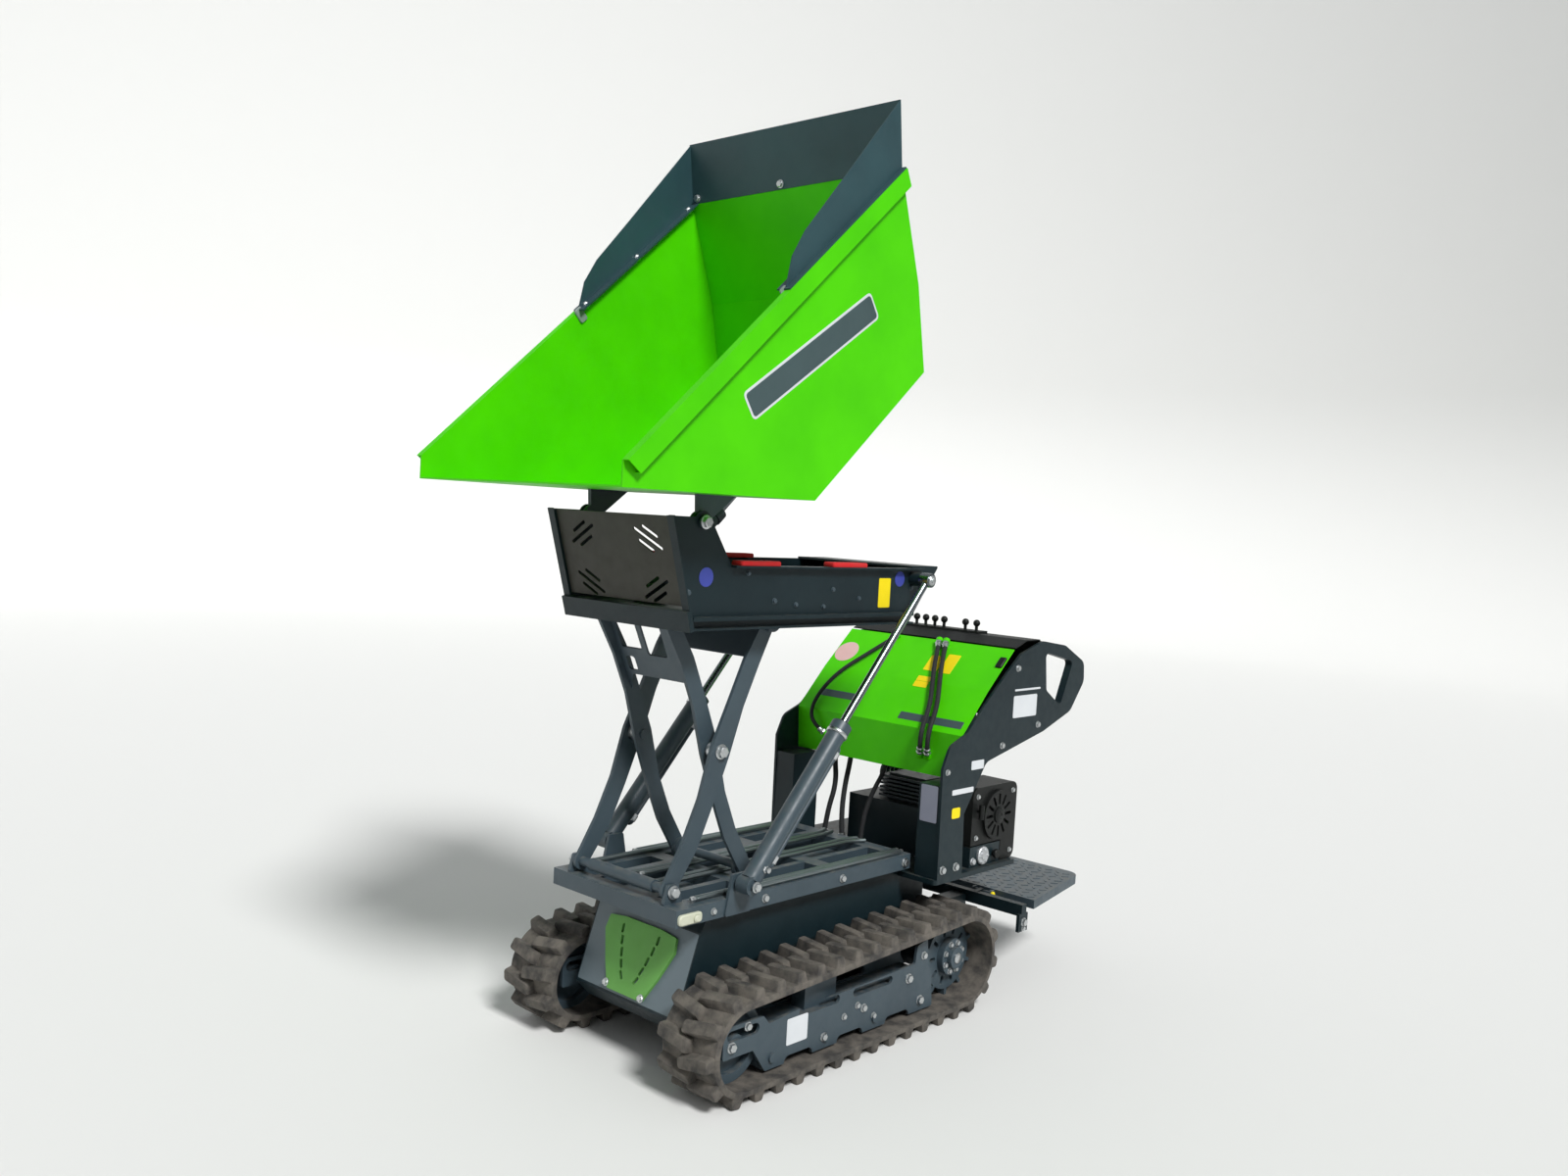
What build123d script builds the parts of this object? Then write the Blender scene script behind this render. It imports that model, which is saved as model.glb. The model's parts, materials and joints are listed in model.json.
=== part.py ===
"""Tracked site dumper with a high-tip skip on a scissor lift, skip raised and part tipped.

Millimetres. +X is the machine's left, +Y its rear, where the operator stands, +Z up.
The origin is on the ground, on the centre line, halfway along the machine as it stands.
"""
from build123d import *
from math import acos, atan2, cos, degrees, hypot, pi, radians, sin, tan
import os

os.makedirs("parts", exist_ok=True)

# ---- fits and clearances
PIN_FIT = 0.1        # radial, pin in its eye
SLIDE_FIT = 0.3      # radial, rod in its gland and piston in its barrel
SEAT = 0.3           # a part resting on the piece that carries it
SIDE_GAP = 6         # between plates that swing past each other

# ---- rubber tracks
TRACK_OUTER_X = 390
BELT_WIDTH = 180
BELT_THICK = 16
LUG_HEIGHT = 24
LUG_FOOT = 38
LUG_TOP = 26
LUG_PITCH = 72
SPROCKET_Y = 299
SPROCKET_R = 115     # radius of the belt's inner face round the sprocket
IDLER_Y = -589
IDLER_R = 97
ROLLER_R = 32
ROLLER_COUNT = 4
ROLLER_WIDTH = 64
TRACK_FRAME_PLATE = 8
TRACK_FRAME_HALF = 52
AXLE_BOLT_R = 11

# ---- chassis between the tracks, and the deck on top of it
CHASSIS_HALF = 190
CHASSIS_BOTTOM = 105
DECK_BOTTOM = 404
DECK_TOP = 446
DECK_HALF = 232
DECK_FRONT = -696
DECK_SHEET = 6
BASE_PLATE = 14
CONSOLE_FRONT = 215
BASE_REAR = 618

# ---- scissor lift
ARM_SPAN = 706.8     # pivot to pivot
ARM_ANGLE = 64.9     # from the horizontal, raised
ARM_ANGLE_LOW = 6.0  # lowered
FOOT_Y = -665
ARM_THICK = 10
ARM_INNER_X = 119    # inner face of the inner arms
PAIR_GAP = 29        # between the inner and the outer arms
ARM_END_R = 22
ARM_WIDTH_A = 56     # outer arms
ARM_WIDTH_B = 48     # inner arms
ARM_BOW = 17         # how far the arm swings off the line between its pivots
UPPER_BOW_A = 0.45   # share of the bow in the upper half
UPPER_BOW_B = 0.75
WHEEL_R = 28
WHEEL_WIDTH = 14
BAR_R = 12

# ---- tray that the scissor carries; its heights are set from the pan under it
PIVOT_Z = DECK_TOP + WHEEL_R + SEAT
PAN_Z = PIVOT_Z + ARM_SPAN * sin(radians(ARM_ANGLE)) + WHEEL_R + SEAT
TRAY_HALF = 214
TRAY_WALL = 6
TRAY_FLANGE = 18     # how far the side channels reach outwards
TRAY_TOP = PAN_Z + 112
TRAY_SKIRT = PAN_Z - 41
TRAY_REAR = 270
TRAY_SKIRT_REAR = 147
TRAY_FRONT = -692
TRAY_NOSE = (-771, PAN_Z + 223)
NOSE_BACK = -636
NOSE_FOOT = -560
BUMPER_HIGH = 50
PAD = 12
PAD_LONG = 140

# ---- skip, drawn level and turned about its hinge by TIP_SHOWN
HINGE = (-660, PAN_Z + 212)
TIP_SHOWN = 41.5
SKIP_HALF = 374
SKIP_WALL = 4
CHUTE_GAP = 64       # hinge to the underside of the chute
CHUTE_LONG = 386
LIP_HIGH = 56        # side walls above the chute at its lip
RIM_OUT = 17
RIM_HIGH = 43
RIM_WALL = 3

# ---- lift cylinders, one each side
LIFT_R = 25
LIFT_ROD_R = 11
LIFT_GAP = 8         # deck rail to barrel
LIFT_X = DECK_HALF + LIFT_GAP + LIFT_R
LIFT_BASE = (-495, DECK_TOP + 37)
LIFT_EYE = (155, PAN_Z + 82)
LIFT_BARREL = 486
PIPE_R = 6

# ---- tip cylinder in the tray
TIP_BASE = (-620, PAN_Z + 39)
TIP_LUG = (345, -150)  # on the level skip, from the hinge
TIP_BARREL = 296
TIP_PISTON = 146     # base pin to the piston, as shown
TIP_R = 19
TIP_ROD_R = 10

# ---- operator's console
CONSOLE_HALF = 320
SIDE_PLATE = 8
LEG_INNER = 240
LEG_REAR = 335
LEG_WALL = 5
LEG_TOP = 650
HOOD_SHEET = 3
GRIP_WIDTH = 24
SHELF_Z = 729

# ---- folding platform
PLATFORM_Y = 650
PLATFORM_TOP = 265
PLATFORM_REAR = 1046
PLATFORM_PLATE = 5
PLATFORM_SKIRT = 27
FOLD_AXIS = (PLATFORM_Y - 15, PLATFORM_TOP - 12)
FOLD_PIN_R = 7


# ---- hoses: name, diameter, route from end to end
HOOD_HOSES = (
    ("hose_hood_far", 12, ((-118, 527, 1018), (-172, 454, 958), (-226, 395, 904), (-252, 333, 839),
                           (-247, 284, 780), (-224, 283, 738), (-198, 300, 718))),
    ("hose_hood_a", 14, ((52, 527, 1018), (88, 461, 962), (126, 403, 910), (164, 345, 848), (182, 288, 790),
                         (182, 282, 744), (172, 300, 716))),
    ("hose_hood_b", 14, ((78, 527, 1018), (114, 461, 962), (152, 403, 910), (190, 345, 848), (208, 288, 790),
                         (208, 282, 744), (198, 300, 716))),
)
SHELF_HOSES = (
    ("hose_down_a", 16,
     ((-196, 352, 716), (-190, 350, 638), (-168, 338, 560), (-176, 312, 472), (-180, 306, 398))),
    ("hose_down_b", 16,
     ((-120, 352, 716), (-128, 352, 638), (-132, 336, 560), (-118, 310, 472), (-104, 304, 398))),
    ("hose_down_c", 14, ((20, 352, 716), (14, 350, 638), (-22, 336, 560), (-34, 308, 472), (-30, 300, 398))),
)


def outline(points, radius=0):
    """Flat face through the points, its corners rounded alike."""
    face = make_face(Polyline(*points, close=True))
    return fillet(face.vertices(), radius) if radius else face


def across(face, x_from, x_to):
    """The (Y, Z) face carried from one X to another."""
    return Pos(x_from, 0, 0) * extrude(Plane.YZ * face, x_to - x_from)


def both_sides(shape):
    return [shape, mirror(shape, about=Plane.YZ)]


def strip(points, thick):
    """A bent sheet's edge: the points, and the same line moved left by the thickness."""
    count = len(points)
    moved = []
    for i in range(count):
        normals = []
        for a, b in ((i - 1, i), (i, i + 1)):
            if a >= 0 and b < count:
                dy, dz = points[b][0] - points[a][0], points[b][1] - points[a][1]
                run = hypot(dy, dz)
                normals.append((-dz / run, dy / run))
        ny = sum(n[0] for n in normals) / len(normals)
        nz = sum(n[1] for n in normals) / len(normals)
        share = thick / (ny * ny + nz * nz)
        moved.append((points[i][0] + ny * share, points[i][1] + nz * share))
    return outline(list(points) + moved[::-1])


def rod_x(y, z, radius, x_from, x_to):
    """A round bar along X."""
    return Pos(x_from, y, z) * extrude(Plane.YZ * Circle(radius), x_to - x_from)


def box(x0, x1, y0, y1, z0, z1):
    return Pos((x0 + x1) / 2, (y0 + y1) / 2, (z0 + z1) / 2) * Box(x1 - x0, y1 - y0, z1 - z0)


def save(name, *shapes):
    """One STEP file for the node: its solids, fused where they meet."""
    whole = shapes[0]
    for shape in shapes[1:]:
        whole = whole + shape
    export_step(whole, f"parts/{name}.step")


def bend_radii(points):
    """Each corner's radius: 0.45 of the shorter run beside it over the tangent of half its turn."""
    radii = []
    for a, b, c in zip(points, points[1:], points[2:]):
        into = Vector(*b) - Vector(*a)
        away = Vector(*c) - Vector(*b)
        half_turn = radians(into.get_angle(away)) / 2
        radii.append(0.45 * min(into.length, away.length) / tan(half_turn))
    return radii


def gland(diameter, end, beside, length):
    """The fitting that a hose plugs into: a short round beyond the hose's end."""
    away = Vector(*end) - Vector(*beside)
    start = Plane(origin=Vector(*end) + away.normalized() * SEAT, z_dir=away)
    return extrude(start * Circle(diameter / 2 + 4), length)


# ------------------------------------------------------------------ tracks
SPROCKET_Z = LUG_HEIGHT + BELT_THICK + SPROCKET_R
IDLER_Z = LUG_HEIGHT + BELT_THICK + IDLER_R
TRACK_MID = TRACK_OUTER_X - BELT_WIDTH / 2
WHEELBASE = hypot(SPROCKET_Y - IDLER_Y, SPROCKET_Z - IDLER_Z)
RISE = atan2(SPROCKET_Z - IDLER_Z, SPROCKET_Y - IDLER_Y)
LEAN = acos((IDLER_R - SPROCKET_R) / WHEELBASE)
TOP_ANGLE = RISE + LEAN          # outward normal of the upper run


def belt_face(extra):
    """Everything inside a belt line that runs `extra` outside the wheels' rolling radii."""
    ends = []
    for y, z, radius, first, last in ((IDLER_Y, IDLER_Z, IDLER_R, TOP_ANGLE, 3 * pi / 2),
                                      (SPROCKET_Y, SPROCKET_Z, SPROCKET_R, -pi / 2, TOP_ANGLE)):
        for turn in (first, (first + last) / 2, last):
            ends.append((y + (radius + extra) * cos(turn), z + (radius + extra) * sin(turn)))
    front_arc, rear_arc = ThreePointArc(*ends[:3]), ThreePointArc(*ends[3:])
    return make_face([front_arc, Line(ends[2], ends[3]), rear_arc, Line(ends[5], ends[0])])


def belt_stations(extra, phase):
    """(y, z, outward angle) of each lug round the belt line, one pitch apart."""
    runs = WHEELBASE * sin(LEAN)
    rear_arc = (TOP_ANGLE + pi / 2) * (SPROCKET_R + extra)
    front_arc = (3 * pi / 2 - TOP_ANGLE) * (IDLER_R + extra)
    total = 2 * runs + rear_arc + front_arc
    count = round(total / LUG_PITCH)
    stations = []
    for i in range(count):
        s = total * (i + phase) / count
        if s < runs:
            stations.append((IDLER_Y + s, IDLER_Z - IDLER_R - extra, -pi / 2))
        elif s < runs + rear_arc:
            turn = -pi / 2 + (s - runs) / (SPROCKET_R + extra)
            stations.append((SPROCKET_Y + (SPROCKET_R + extra) * cos(turn),
                             SPROCKET_Z + (SPROCKET_R + extra) * sin(turn), turn))
        elif s < 2 * runs + rear_arc:
            back = s - runs - rear_arc
            stations.append((SPROCKET_Y + (SPROCKET_R + extra) * cos(TOP_ANGLE) - back * sin(TOP_ANGLE),
                             SPROCKET_Z + (SPROCKET_R + extra) * sin(TOP_ANGLE) + back * cos(TOP_ANGLE),
                             TOP_ANGLE))
        else:
            turn = TOP_ANGLE + (s - 2 * runs - rear_arc) / (IDLER_R + extra)
            stations.append((IDLER_Y + (IDLER_R + extra) * cos(turn),
                             IDLER_Z + (IDLER_R + extra) * sin(turn), turn))
    return stations


def track_half(phase, x_from, x_to):
    """Half the belt's width with its own row of lugs."""
    face = belt_face(BELT_THICK)
    root = 3
    for y, z, turn in belt_stations(BELT_THICK, phase):
        lug = outline([(-root, -LUG_FOOT / 2), (LUG_HEIGHT, -LUG_TOP / 2),
                       (LUG_HEIGHT, LUG_TOP / 2), (-root, LUG_FOOT / 2)])
        face = face + Pos(y, z) * Rot(0, 0, degrees(turn)) * lug
    face = face & belt_face(BELT_THICK + LUG_HEIGHT)
    return across(face - belt_face(0), x_from, x_to)


track = (track_half(0.25, TRACK_OUTER_X - BELT_WIDTH, TRACK_MID + 15)
         + track_half(0.75, TRACK_MID - 15, TRACK_OUTER_X))
for side, shape in zip(("left", "right"), both_sides(track)):
    save(f"track_{side}", shape)


def toothed_disc(radius, teeth, depth):
    """Sprocket face: a disc with rounded teeth and a ring of slots behind them."""
    face = Circle(radius - depth)
    for i in range(teeth):
        tooth = outline([(0, -9), (radius, -5), (radius, 5), (0, 9)])
        face = face + Rot(0, 0, 360 * (i + 0.5) / teeth) * tooth
    return face & Circle(radius)


SPROCKET_TEETH = 10
sprocket_face = toothed_disc(SPROCKET_R - SEAT, SPROCKET_TEETH, 18)
for i in range(SPROCKET_TEETH):
    sprocket_face -= Rot(0, 0, 360 * i / SPROCKET_TEETH) * (Pos(72, 0) * SlotOverall(26, 12))
sprocket = across(Pos(SPROCKET_Y, SPROCKET_Z) * sprocket_face, TRACK_MID - 14, TRACK_MID + 14)
sprocket += rod_x(SPROCKET_Y, SPROCKET_Z, 52, TRACK_MID + 14, TRACK_MID + 34)
sprocket += rod_x(SPROCKET_Y, SPROCKET_Z, 30, TRACK_MID + 34, TRACK_MID + 48)
sprocket += rod_x(SPROCKET_Y, SPROCKET_Z, 58, CHASSIS_HALF, TRACK_MID - 14)

idler = rod_x(IDLER_Y, IDLER_Z, IDLER_R - SEAT, TRACK_MID - 30, TRACK_MID + 30)
idler -= rod_x(IDLER_Y, IDLER_Z, IDLER_R - 22, TRACK_MID + 12, TRACK_MID + 30)
idler -= rod_x(IDLER_Y, IDLER_Z, IDLER_R - 22, TRACK_MID - 30, TRACK_MID - 12)
idler += rod_x(IDLER_Y, IDLER_Z, 24, TRACK_MID - TRACK_FRAME_HALF + TRACK_FRAME_PLATE,
               TRACK_MID + TRACK_FRAME_HALF - TRACK_FRAME_PLATE)

# road rollers between the idler and the sprocket, on the lower run
ROLLER_FIRST = IDLER_Y + 118
ROLLER_LAST = SPROCKET_Y - 177
ROLLER_Z = LUG_HEIGHT + BELT_THICK + ROLLER_R + SEAT
roller_ys = [ROLLER_FIRST + (ROLLER_LAST - ROLLER_FIRST) * i / (ROLLER_COUNT - 1)
             for i in range(ROLLER_COUNT)]
PLATE_GAP = TRACK_FRAME_HALF - TRACK_FRAME_PLATE
rollers = []
for y in roller_ys:
    roller = rod_x(y, ROLLER_Z, ROLLER_R, TRACK_MID - ROLLER_WIDTH / 2, TRACK_MID + ROLLER_WIDTH / 2)
    roller -= rod_x(y, ROLLER_Z, ROLLER_R + 1, TRACK_MID - 9, TRACK_MID + 9) - rod_x(
        y, ROLLER_Z, ROLLER_R - 10, TRACK_MID - 9, TRACK_MID + 9)
    roller += rod_x(y, ROLLER_Z, 12, TRACK_MID - PLATE_GAP, TRACK_MID + PLATE_GAP)
    rollers.append(roller)

# track frame: two plates with notches over the rollers, a fork for the idler's tensioner,
# a box beam, a slide under the upper run and two cross tubes
PLATE_REAR = SPROCKET_Y - SPROCKET_R
FRAME_LOW = ROLLER_Z - 24
FRAME_MID = IDLER_Z + 35
frame_outline = [(IDLER_Y - 50, IDLER_Z - 26), (IDLER_Y - 50, IDLER_Z + 52), (IDLER_Y + 84, IDLER_Z + 50),
                 (IDLER_Y + 104, FRAME_MID - 8), (IDLER_Y + 190, FRAME_MID), (PLATE_REAR - 90, FRAME_MID + 12),
                 (PLATE_REAR - 84, SPROCKET_Z + 76), (PLATE_REAR - 38, SPROCKET_Z + 88),
                 (PLATE_REAR - 30, SPROCKET_Z + 15), (PLATE_REAR - 14, SPROCKET_Z - 5),
                 (PLATE_REAR - 2, FRAME_LOW),
                 (IDLER_Y + IDLER_R, FRAME_LOW), (IDLER_Y + 52, IDLER_Z - 26)]
plate_face = outline(frame_outline, 6)
for y in [(a + b) / 2 for a, b in zip(roller_ys, roller_ys[1:])]:
    plate_face -= Pos(y, FRAME_LOW) * SlotOverall(104, 34)
SLOTS = ((-300, 154, 22), (-87, 164, 22), (IDLER_Y + 16, 108, 26))   # y, length, height
for y, long, high in SLOTS:
    plate_face -= Pos(y, FRAME_MID - 8) * SlotOverall(long, high)
outer_plate = across(plate_face, TRACK_MID + PLATE_GAP, TRACK_MID + TRACK_FRAME_HALF)
inner_plate = across(plate_face, TRACK_MID - TRACK_FRAME_HALF, TRACK_MID - PLATE_GAP)
BEAM_Y = (roller_ys[0] - 10, PLATE_REAR - 30)
BEAM_Z = (ROLLER_Z + ROLLER_R + 8, SPROCKET_Z - 6)
track_frame = outer_plate + inner_plate
track_frame += box(TRACK_MID - PLATE_GAP, TRACK_MID + PLATE_GAP, *BEAM_Y, *BEAM_Z)
SLIDE_Y = (-325, -205)
track_frame += box(TRACK_MID - 22, TRACK_MID + 22, *SLIDE_Y, BEAM_Z[1] - 1, IDLER_Z + IDLER_R + 5)
for y in (roller_ys[0] + 60, roller_ys[-1] - 40):
    track_frame += box(CHASSIS_HALF, TRACK_MID - TRACK_FRAME_HALF, y - 30, y + 30, *BEAM_Z)
for y in roller_ys:
    track_frame += rod_x(y, ROLLER_Z + 4, AXLE_BOLT_R, TRACK_MID + TRACK_FRAME_HALF - 1,
                         TRACK_MID + TRACK_FRAME_HALF + 6)

for shape, name in ((sprocket, "sprocket"), (idler, "idler"), (track_frame, "track_frame")):
    for side, copy in zip(("left", "right"), both_sides(shape)):
        save(f"{name}_{side}", copy)
for side, turn in (("left", False), ("right", True)):
    copies = [mirror(r, about=Plane.YZ) if turn else r for r in rollers]
    export_step(Compound(children=[c for c in copies]), f"parts/rollers_{side}.step")

# ------------------------------------------------------------------ chassis and deck
BASE_TOP = 386
BASE_BOTTOM = BASE_TOP - BASE_PLATE
CHASSIS_REAR = 330
NOSE_TOP = (-572, 358)
NOSE_FOLD = (-640, 152)
chassis_profile = outline([(NOSE_TOP[0] + 26, DECK_BOTTOM), NOSE_TOP, NOSE_FOLD, (NOSE_FOLD[0] + 44, CHASSIS_BOTTOM),
                           (CHASSIS_REAR - 40, CHASSIS_BOTTOM), (CHASSIS_REAR, 150), (CHASSIS_REAR, BASE_BOTTOM),
                           (CONSOLE_FRONT - 10, BASE_BOTTOM), (CONSOLE_FRONT - 10, DECK_BOTTOM)])
save("chassis", across(chassis_profile, -CHASSIS_HALF, CHASSIS_HALF))

# guard on the nose: a six-cornered plate with two columns of slots that close in downwards
nose_run = hypot(NOSE_TOP[0] - NOSE_FOLD[0], NOSE_TOP[1] - NOSE_FOLD[1])
nose_up = Vector(0, (NOSE_TOP[0] - NOSE_FOLD[0]) / nose_run, (NOSE_TOP[1] - NOSE_FOLD[1]) / nose_run)
nose_out = Vector(1, 0, 0).cross(nose_up)
nose_plane = Plane(origin=Vector(0, *NOSE_FOLD) + nose_out * SEAT, x_dir=(1, 0, 0), z_dir=nose_out)
guard_half = [(66, 194), (124, 187), (130, 150), (97, 75), (64, 14)]        # x, up the nose
guard_face = outline(guard_half + [(-x, up) for x, up in guard_half[::-1]], 5)
GUARD_SLOTS = ((66, 165, 4), (58, 137, 10), (48, 109, 16), (38, 82, 24), (28, 56, 34))  # x, up, lean
for x, up, lean in GUARD_SLOTS:
    for side in (-1, 1):
        guard_face -= Pos(side * x, up) * Rot(0, 0, 90 - side * lean) * SlotOverall(24, 9)
save("belly_guard", extrude(nose_plane * guard_face, 8))

ARM_OUTER_X = ARM_INNER_X + ARM_THICK + PAIR_GAP      # inner face of the outer arms
LUG_X = ARM_OUTER_X + ARM_THICK + 4                   # inner face of the pivot lugs
LUG_THICK = 10
rails = []
for x0, x1 in ((LUG_X, DECK_HALF), (ARM_INNER_X - WHEEL_WIDTH - 8, ARM_INNER_X - 2)):
    rail = box(x0, x1, DECK_FRONT + 40, CONSOLE_FRONT - 12, DECK_BOTTOM, DECK_TOP)
    rails += both_sides(rail)
DECK_BEAMS = ((DECK_FRONT, 40), (-420, 50), (-120, 50), (CONSOLE_FRONT - 62, 50))  # y, width
deck = None
for y, wide in DECK_BEAMS:
    beam = box(-DECK_HALF, DECK_HALF, y, y + wide, DECK_BOTTOM, DECK_TOP)
    deck = beam if deck is None else deck + beam
for rail in rails:
    deck += rail
deck += box(-DECK_HALF, DECK_HALF, DECK_FRONT, CONSOLE_FRONT - 12, DECK_BOTTOM, DECK_BOTTOM + DECK_SHEET)
pivot_lug = outline([(FOOT_Y - 28, DECK_TOP - 2), (FOOT_Y + 34, DECK_TOP - 2),
                     (FOOT_Y + 18, PIVOT_Z + 16), (FOOT_Y - 14, PIVOT_Z + 18)], 5)
lugs = across(pivot_lug, LUG_X, LUG_X + LUG_THICK)
lugs -= rod_x(FOOT_Y, PIVOT_Z, BAR_R + PIN_FIT, LUG_X - 5, LUG_X + LUG_THICK + 5)
bracket = across(outline([(LIFT_BASE[0] - 45, DECK_BOTTOM), (LIFT_BASE[0] + 45, DECK_BOTTOM),
                          (LIFT_BASE[0] + 24, LIFT_BASE[1] + 22), (LIFT_BASE[0] - 24, LIFT_BASE[1] + 22)], 6),
                 DECK_HALF - 4, DECK_HALF + LIFT_GAP - 3)
base_pin = rod_x(*LIFT_BASE, 11, DECK_HALF, LIFT_X + 28)
for shape in (lugs, bracket, base_pin):
    for copy in both_sides(shape):
        deck += copy
save("deck_frame", deck)

base_plate = box(-CONSOLE_HALF, CONSOLE_HALF, CONSOLE_FRONT - 8, BASE_REAR, BASE_BOTTOM, BASE_TOP)
base_plate = fillet(base_plate.edges().filter_by(Axis.Z), 12)
for side in (-1, 1):
    base_plate += box(side * 150 - 20, side * 150 + 20, CHASSIS_REAR, BASE_REAR, BASE_BOTTOM - 40, BASE_BOTTOM)
for name, diameter, route in SHELF_HOSES:
    base_plate += gland(diameter, route[-1], route[-2], route[-1][2] - BASE_TOP)
save("console_base", base_plate)

# ------------------------------------------------------------------ scissor arms
def arm_point(along, off, start, angle):
    """A point on an arm: along it from its lower pivot, and off its line to the left."""
    return (start[0] + along * cos(angle) - off * sin(angle),
            start[1] + along * sin(angle) + off * cos(angle))


def arm_face(start, angle, bow, width, upper):
    """Arm plate: round ends and a double bend, so that the arm is straight through its middle."""
    half = width / 2
    # share of the span, offset of the arm's middle line, half width
    stations = ((0.0, 0.0, ARM_END_R - 1), (0.16, 0.9, half - 2), (0.32, 0.8, half - 2),
                (0.50, 0.0, half + 5), (0.68, -0.9 * upper, half - 2), (0.84, -upper, half - 2),
                (1.0, 0.0, ARM_END_R - 1))
    left = [arm_point(s * ARM_SPAN, o * bow + w, start, angle) for s, o, w in stations]
    right = [arm_point(s * ARM_SPAN, o * bow - w, start, angle) for s, o, w in stations]
    body = make_face(Polyline(*left, *right[::-1], close=True))
    inner = [v for v in body.vertices()
             if min(hypot(v.X - p[0], v.Y - p[1]) for p in (left[0], left[-1], right[0], right[-1])) > 1]
    body = fillet(inner, 60)
    for along in (0, ARM_SPAN):
        body = body + Pos(*arm_point(along, 0, start, angle)) * Circle(ARM_END_R)
    return body


raised = radians(ARM_ANGLE)
SPREAD = ARM_SPAN * cos(raised)
HEIGHT = ARM_SPAN * sin(raised)
FOOT_FRONT = (FOOT_Y, PIVOT_Z)
FOOT_REAR = (FOOT_Y + SPREAD, PIVOT_Z)
HEAD_FRONT = (FOOT_Y, PIVOT_Z + HEIGHT)
HEAD_REAR = (FOOT_Y + SPREAD, PIVOT_Z + HEIGHT)
CROSSING = (FOOT_Y + SPREAD / 2, PIVOT_Z + HEIGHT / 2)
BAR_END = LUG_X + LUG_THICK + 2

face_a = arm_face(FOOT_FRONT, raised, -ARM_BOW, ARM_WIDTH_A, UPPER_BOW_A)
plate_a = across(face_a, ARM_OUTER_X, ARM_OUTER_X + ARM_THICK)
arm_a = None
for plate in both_sides(plate_a):
    arm_a = plate if arm_a is None else arm_a + plate
arm_a += rod_x(*FOOT_FRONT, BAR_R, -BAR_END, BAR_END)
arm_a += rod_x(*HEAD_REAR, BAR_R, -BAR_END, BAR_END)
arm_a += rod_x(*FOOT_FRONT, BAR_R + 4, -ARM_INNER_X, ARM_INNER_X)
for side in (-1, 1):
    x = side * (ARM_OUTER_X + ARM_THICK)
    arm_a += rod_x(*HEAD_REAR, WHEEL_R, min(x, x + side * WHEEL_WIDTH), max(x, x + side * WHEEL_WIDTH))
    ends = sorted((side * (ARM_INNER_X - 4), side * (ARM_OUTER_X + 2)))
    arm_a += rod_x(*CROSSING, BAR_R, *ends)
    ends = sorted((side * (ARM_INNER_X + ARM_THICK + SIDE_GAP), side * (ARM_OUTER_X + 2)))
    arm_a += rod_x(*CROSSING, BAR_R + 8, *ends)
# cross member near the upper ends
tie = outline([arm_point(along, off, FOOT_FRONT, raised)
               for along, off in ((603, -3), (603, 3), (678, 3), (678, -3))])
arm_a += across(tie, -ARM_OUTER_X - 2, ARM_OUTER_X + 2)
save("scissor_arm_a", arm_a)

back = pi - raised
face_b = arm_face(FOOT_REAR, back, ARM_BOW, ARM_WIDTH_B, UPPER_BOW_B)
plate_b = across(face_b, ARM_INNER_X, ARM_INNER_X + ARM_THICK)
plate_b -= rod_x(*CROSSING, BAR_R + PIN_FIT, ARM_INNER_X - 5, ARM_INNER_X + ARM_THICK + 5)
arm_b = None
for plate in both_sides(plate_b):
    arm_b = plate if arm_b is None else arm_b + plate
arm_b += rod_x(*HEAD_FRONT, BAR_R, -BAR_END, BAR_END)
arm_b += rod_x(*FOOT_REAR, BAR_R, -ARM_INNER_X, ARM_INNER_X)
for side in (-1, 1):
    x = side * ARM_INNER_X
    arm_b += rod_x(*FOOT_REAR, WHEEL_R, min(x, x - side * WHEEL_WIDTH), max(x, x - side * WHEEL_WIDTH))
# cross plate near the upper ends, its windows towards one side and its lower corners rounded
WEB = (530, 694)     # along the arm
WEB_OFF = -14
WEB_WINDOWS = ((-67, 649, 76, 84), (26, 640, 72, 92), (-86, 562, 34, 40))   # x, along, wide, high
web_plane = Plane(origin=(0, *arm_point(0, WEB_OFF, FOOT_REAR, back)), x_dir=(1, 0, 0),
                  z_dir=(0, -sin(back), cos(back)))
web_half = ARM_INNER_X + 2
web_face = Pos(0, sum(WEB) / 2) * Rectangle(2 * web_half, WEB[1] - WEB[0])
for x, along, wide, high in WEB_WINDOWS:
    web_face -= Pos(x, along) * RectangleRounded(wide, high, 8)
gusset = outline([(-web_half, WEB[0] + 2), (-web_half, WEB[0] - 50), (-web_half + 26, WEB[0] + 2)])
web_face += gusset
web_face += mirror(gusset, about=Plane.YZ)
arm_b += extrude(web_plane * web_face, 5)
save("scissor_arm_b", arm_b)

# ------------------------------------------------------------------ tray on the scissor
nose_line = [(TRAY_FRONT, TRAY_SKIRT), TRAY_NOSE]
nose_long = hypot(TRAY_NOSE[0] - TRAY_FRONT, TRAY_NOSE[1] - TRAY_SKIRT)
nose_unit = ((TRAY_NOSE[0] - TRAY_FRONT) / nose_long, (TRAY_NOSE[1] - TRAY_SKIRT) / nose_long)
side_outline = nose_line + [(NOSE_BACK, TRAY_NOSE[1]), (NOSE_FOOT, TRAY_TOP), (TRAY_REAR, TRAY_TOP),
                            (TRAY_SKIRT_REAR, TRAY_SKIRT)]
tray_side = across(outline(side_outline) + Pos(*HINGE) * Circle(26), TRAY_HALF - TRAY_WALL, TRAY_HALF)
tray_side -= rod_x(*HINGE, 14 + PIN_FIT, TRAY_HALF - 20, TRAY_HALF + 20)
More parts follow.
